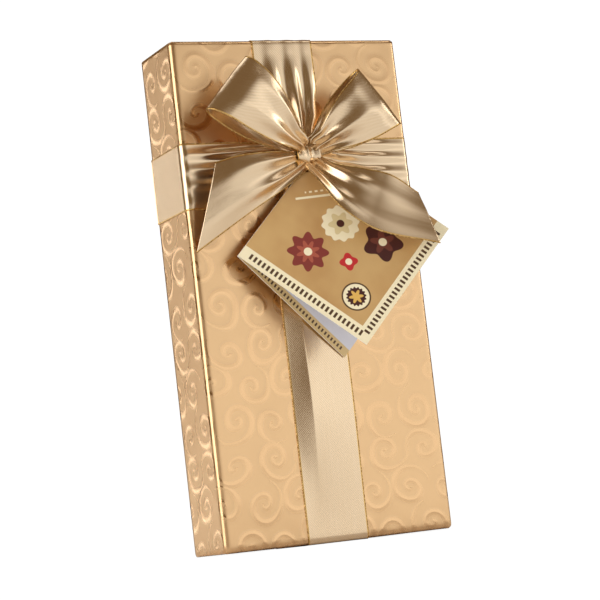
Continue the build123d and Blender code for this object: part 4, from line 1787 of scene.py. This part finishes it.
@dataclass
class Tag:
    """The folded tag: two printed leaves and the tie. Its turns are in degrees."""

    turn: float = 44.0
    lean: float = 3.6
    yaw: float = 3.7
    opening: float = 23.4
    flat_angle: float = 0.02

    def build(self) -> None:
        """Builds both leaves and dresses the tie."""
        yaw, lean = math.radians(self.yaw), math.radians(self.lean)
        swing = Matrix.Rotation(yaw, 3, "Z") @ Matrix.Rotation(lean, 3, "X")
        slant = math.radians(self.turn)
        fold = swing @ Vector((math.sin(slant), 0, math.cos(slant)))
        leaf = swing @ Vector((math.cos(slant), 0, -math.sin(slant)))
        joint = next(j for j in frame["joints"] if j["name"] == "tag_open")
        corner = Vector(joint["pos_m"])
        opening = math.radians(self.opening)
        front_leaf = leaf * math.cos(opening) - fold.cross(leaf) * math.sin(opening)
        self.leaf("tag_back_leaf", Body.TAG_BACK, corner, fold, leaf, 1)
        self.leaf("tag_front_leaf", Body.TAG_FRONT, corner, fold, front_leaf, -1)
        paint("tag_tie", TIE)

    def leaf(self, node: str, body: Body, corner: Vector, fold: Vector, across: Vector, away: int) -> None:
        """One leaf: the node's own outline, merged and printed.

        Args:
            node: the leaf's node.
            body: what it rides on.
            corner: low end of the fold.
            fold: unit vector up the fold.
            across: unit vector from the fold over the leaf.
            away: 1 where the outer side faces the box, -1 where it faces away from it.
        """
        mesh = merged_copy(node, self.flat_angle)
        outward = fold.cross(across).normalized() * away
        uv = mesh.loops.layers.uv.verify()
        for layer in list(mesh.loops.layers.uv.values()):
            if layer.name != uv.name:
                mesh.loops.layers.uv.remove(layer)
        mesh.normal_update()
        levels = [vertex.co.dot(outward) for vertex in mesh.verts]
        middle = (min(levels) + max(levels)) / 2
        finishes = (TAG_PRINT, TAG_INSIDE, TAG_EDGE)
        for face in mesh.faces:
            flat = abs(face.normal.dot(outward)) > FACING_SHARE
            outer = face.calc_center_median().dot(outward) > middle
            finish = TAG_EDGE if not flat else TAG_PRINT if outer else TAG_INSIDE
            face.material_index = finishes.index(finish)
            for loop in face.loops:
                offset = loop.vert.co - corner
                loop[uv].uv = (offset.dot(fold), offset.dot(across))
        piece = new_object(node + "_card", mesh, smooth=False)
        piece.data.uv_layers[0].name = UV_MAP
        for finish in finishes:
            piece.data.materials.append(finish.material())
        dress(piece, TAG_PRINT, body, Slot.TAG, [node])


@dataclass
class Inside:
    """Boards, mat, dividers, pralines and pad inside the box, in metres."""

    board: float = 0.0012
    board_bevel: float = 0.0019
    board_segments: int = 5
    flat_angle: float = 0.01
    praline_bevel: float = 0.0007
    praline_segments: int = 3
    praline_bend: float = 28.0
    pad_cells: Tuple[int, int] = (84, 176)
    pad_rim: float = 0.007
    quilt: float = 0.0176
    quilt_power: float = 0.4
    quilt_level: float = 0.45

    def build(self) -> None:
        """Dresses the kept nodes and builds the rounded lid board, the pralines and the pad."""
        self.lid_board()
        paint("base_board", BOARD)
        paint("praline_mat", MAT_GLASSINE)
        for name in sorted(frame["nodes"]):
            if name.startswith("divider_"):
                paint(name, GOLD_CARD)
            if name.startswith("praline_") and name != "praline_mat":
                self.praline(name)
        self.pad()

    def lid_board(self) -> None:
        """The lid's board, rounded where its paper is."""
        low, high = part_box("lid_board")
        mesh = bmesh.new()
        bmesh.ops.create_cube(mesh, size=1.0)
        bmesh.ops.scale(mesh, vec=high - low, verts=mesh.verts)
        bmesh.ops.translate(mesh, vec=(high + low) / 2, verts=mesh.verts)
        back = [face for face in mesh.faces if face.normal.y > FACING_SHARE]
        bmesh.ops.delete(mesh, geom=back, context="FACES_ONLY")
        front = [edge for edge in mesh.edges if not edge.is_boundary]
        bmesh.ops.bevel(mesh, geom=front, offset=self.board_bevel, affect="EDGES",
                        segments=self.board_segments, profile=0.5, material=-1, clamp_overlap=True)
        piece = new_object("lid_board_rounded", mesh)
        thicken(piece, self.board, -1.0)
        dress(piece, BOARD, Body.LID, Slot.BOARD, ["lid_board"])
        piece.data.materials.append(RIM_PAPER.material())
        piece.modifiers["thickness"].material_offset_rim = 1

    def praline(self, node: str) -> None:
        """One praline: the node's form, merged and softened.

        Args:
            node: the praline's node.
        """
        piece = new_object(node + "_chocolate", merged_copy(node, self.flat_angle))
        soften = piece.modifiers.new("soft edges", "BEVEL")
        soften.width = self.praline_bevel
        soften.segments = self.praline_segments
        soften.limit_method = "ANGLE"
        soften.angle_limit = math.radians(self.praline_bend)
        slot = Slot(next(s["material_slot"] for s in frame["record"]["subparts"] if s["node"] == node))
        dress(piece, RecordFinish(slot.value), Body.PRALINES, slot, [node])

    def pad(self) -> None:
        """The quilted cushion pad: two crowned faces drawn in along diagonal channels."""
        low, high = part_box("cushion_pad")
        half, middle = (high - low) / 2, (high + low) / 2
        columns, rows = self.pad_cells
        mesh = bmesh.new()
        bmesh.ops.create_grid(mesh, x_segments=columns, y_segments=rows, size=0.5)
        grown = bmesh.ops.duplicate(mesh, geom=mesh.faces[:] + mesh.verts[:] + mesh.edges[:])
        behind = {item for item in grown["geom"] if isinstance(item, bmesh.types.BMVert)}
        for vertex in mesh.verts:
            x, z = 2 * vertex.co.x * half.x, 2 * vertex.co.y * half.z
            rim = min(half.x - abs(x), half.z - abs(z))
            swell = math.sqrt(max(0.0, 1 - max(0.0, 1 - rim / self.pad_rim) ** 2))
            first = math.sin(math.pi * (x + z) / self.quilt)
            second = math.sin(math.pi * (x - z) / self.quilt)
            puff = (abs(first) * abs(second)) ** self.quilt_power
            height = half.y * swell * (self.quilt_level + (1 - self.quilt_level) * puff)
            side = 1 if vertex in behind else -1
            vertex.co = Vector((middle.x + x, middle.y + side * height, middle.z + z))
        bmesh.ops.remove_doubles(mesh, verts=mesh.verts, dist=MERGE_DISTANCE)
        bmesh.ops.recalc_face_normals(mesh, faces=mesh.faces)
        piece = new_object("cushion_pad_quilted", mesh)
        dress(piece, PAD_GLASSINE, Body.PAD, Slot.PAD, ["cushion_pad"])


@dataclass(frozen=True)
class SoftBox:
    """A soft studio lamp: where it stands, what it looks at, its size and its power."""

    name: str
    place: Point
    target: Point
    size: Pair
    power: float

    def build(self) -> None:
        """Adds the lamp."""
        lamp = bpy.data.lights.new(self.name, "AREA")
        lamp.shape = "RECTANGLE"
        lamp.size, lamp.size_y = self.size
        lamp.energy = self.power
        holder = add_object(self.name, lamp)
        holder.location = self.place
        way = Vector(self.target) - Vector(self.place)
        holder.rotation_euler = way.to_track_quat("-Z", "Y").to_euler()


@dataclass
class Studio:
    """Floor, world, lamps and the camera at the photograph's viewing angle."""

    lens: float = 127.4953
    sensor: float = 36.0
    clip: Pair = (0.01, 50.0)
    pitch_x: float = -0.14926
    roll_y: float = -0.058
    turn_z: float = 0.43842
    focus: Point = (0.0, 0.0, 0.0964)
    shift: Point = (-0.00127265, 0.81862805, 0.0025915)
    bright_side: Point = (0.69, -0.724, 0.0)
    bright_band: Pair = (0.71, 0.91)
    rise_band: Pair = (-0.08, 0.64)
    bright: Colour = (1.38, 1.38, 1.38, 1.0)
    dim: Colour = (0.185, 0.118, 0.055, 1.0)
    plain_level: float = 0.78
    floor_size: float = 20.0
    shadow_band: Pair = (0.06, 0.24)
    shadow_level: float = 0.82
    floor_colour: Colour = (0.9, 0.9, 0.9, 1.0)
    mirrored_floor: Colour = (0.72, 0.66, 0.6, 1.0)
    mirrored_band: Pair = (0.08, 0.3)
    mirrored_glow: float = 0.5
    lamps: Tuple[SoftBox, ...] = (
        SoftBox("left softbox", (-0.69, -0.13, 0.2), (0.0, 0.0, 0.1), (0.65, 0.6), 3.0),
        SoftBox("grazing strip", (-0.331, 0.695, 0.17), (-0.0475, 0.0, 0.1), (0.055, 0.45), 0.18),
        SoftBox("key softbox", (0.45, -0.42, 0.95), (0.0, 0.0, 0.13), (0.35, 0.3), 0.4),
        SoftBox("right softbox", (0.70, -0.20, 0.32), (0.0, 0.0, 0.13), (0.12, 0.3), 0.35),
        SoftBox("overhead softbox", (0.0, 0.45, 0.95), (0.0, 0.0, 0.15), (0.6, 0.4), 1.1),
    )

    def build(self) -> None:
        """Builds the studio."""
        self.floor()
        self.world()
        for lamp in self.lamps:
            lamp.build()
        self.camera()

    @staticmethod
    def shine(nodes: Nodes, path: bpy.types.Node) -> bpy.types.NodeSocket:
        """1 on rays from shiny or clear surfaces and 0 on all others."""
        return nodes.math("MAXIMUM", path.outputs["Is Glossy Ray"], path.outputs["Is Transmission Ray"])

    def floor(self) -> None:
        """A pale floor that shows white and keeps the object's shadow."""
        mesh = bmesh.new()
        bmesh.ops.create_grid(mesh, x_segments=2, y_segments=2, size=self.floor_size)
        floor = new_object("studio_floor", mesh)
        material = bpy.data.materials.new("studio_floor")
        material.use_nodes = True
        material.node_tree.nodes.clear()
        nodes = Nodes(material.node_tree)
        glow = nodes.add("Emission", {"Color": WHITE, "Strength": WHITE_GLOW})
        away = nodes.vector("LENGTH", nodes.object_point(), out=1)
        near, far = self.shadow_band
        clear = nodes.add("MapRange", {0: away, 1: near, 2: far, 3: self.shadow_level, 4: 1.0},
                          interpolation_type="SMOOTHSTEP").outputs[0]
        path = nodes.add("LightPath")
        shine = self.shine(nodes, path)
        colour = nodes.mix(shine, self.floor_colour, self.mirrored_floor)
        diffuse = nodes.add("BsdfDiffuse", {"Color": colour})
        seen = nodes.times(path.outputs["Is Camera Ray"], clear)
        pale = nodes.times(nodes.smooth(away, *self.mirrored_band), self.mirrored_glow)
        share = nodes.math("MAXIMUM", seen, nodes.times(shine, pale))
        mixed = nodes.add("MixShader", {0: share, 1: diffuse.outputs[0], 2: glow.outputs[0]})
        nodes.add("OutputMaterial", {0: mixed.outputs[0]})
        floor.data.materials.append(material)

    def world(self) -> None:
        """White for the camera, a studio that darkens upwards for metal, and a plain level for the rest."""
        world = bpy.data.worlds.new("studio")
        bpy.context.scene.world = world
        world.use_nodes = True
        world.node_tree.nodes.clear()
        nodes = Nodes(world.node_tree)
        way = nodes.add("TexCoord").outputs["Generated"]
        height = nodes.add("SeparateXYZ", {0: way}).outputs[2]
        low, high = self.rise_band
        rise = nodes.add("MapRange", {0: height, 1: low, 2: high, 3: 1.0, 4: 0.0},
                         interpolation_type="SMOOTHSTEP").outputs[0]
        side = nodes.smooth(nodes.vector("DOT_PRODUCT", way, self.bright_side, out=1), *self.bright_band)
        level = nodes.mix(nodes.times(rise, side), self.dim, self.bright)
        path = nodes.add("LightPath")
        mirrored = nodes.add("Background", {0: level, 1: 1.0})
        plain = nodes.add("Background", {0: WHITE, 1: self.plain_level})
        white = nodes.add("Background", {0: WHITE, 1: WHITE_GLOW})
        around = nodes.add("MixShader", {
            0: self.shine(nodes, path), 1: plain.outputs[0], 2: mirrored.outputs[0]})
        mixed = nodes.add("MixShader", {
            0: path.outputs["Is Camera Ray"], 1: around.outputs[0], 2: white.outputs[0]})
        nodes.add("OutputWorld", {0: mixed.outputs[0]})

    def camera(self) -> None:
        """The camera, from the turn and shift that the photograph gave."""
        turn = (Matrix.Rotation(self.turn_z, 3, "Z") @ Matrix.Rotation(self.roll_y, 3, "Y")
                @ Matrix.Rotation(self.pitch_x, 3, "X"))
        place = Vector(self.focus) - turn.transposed() @ Vector(self.shift)
        right, ahead, up = turn[0], turn[1], turn[2]
        axes = Matrix((right, up, -ahead)).transposed()
        camera = bpy.data.cameras.new("photo camera")
        camera.lens = self.lens
        camera.sensor_width = self.sensor
        camera.clip_start, camera.clip_end = self.clip
        holder = add_object("photo camera", camera)
        holder.matrix_world = Matrix.Translation(place) @ axes.to_4x4()
        bpy.context.scene.camera = holder
        bpy.context.scene.view_settings.view_transform = "Standard"


def main() -> None:
    """Builds every piece, then the studio."""
    logging.basicConfig(level=logging.INFO)
    for make_group in (paper_grain_group, lame_weave_group, pressed_scroll_group, print_mark_group,
                       print_bar_group):
        make_group()
    for part in (Wrapping(), BoxRibbon(), Bow(), Tag(), Inside(), Studio()):
        log.info("building %s", type(part).__name__)
        part.build()


if __name__ == "__main__":
    main()
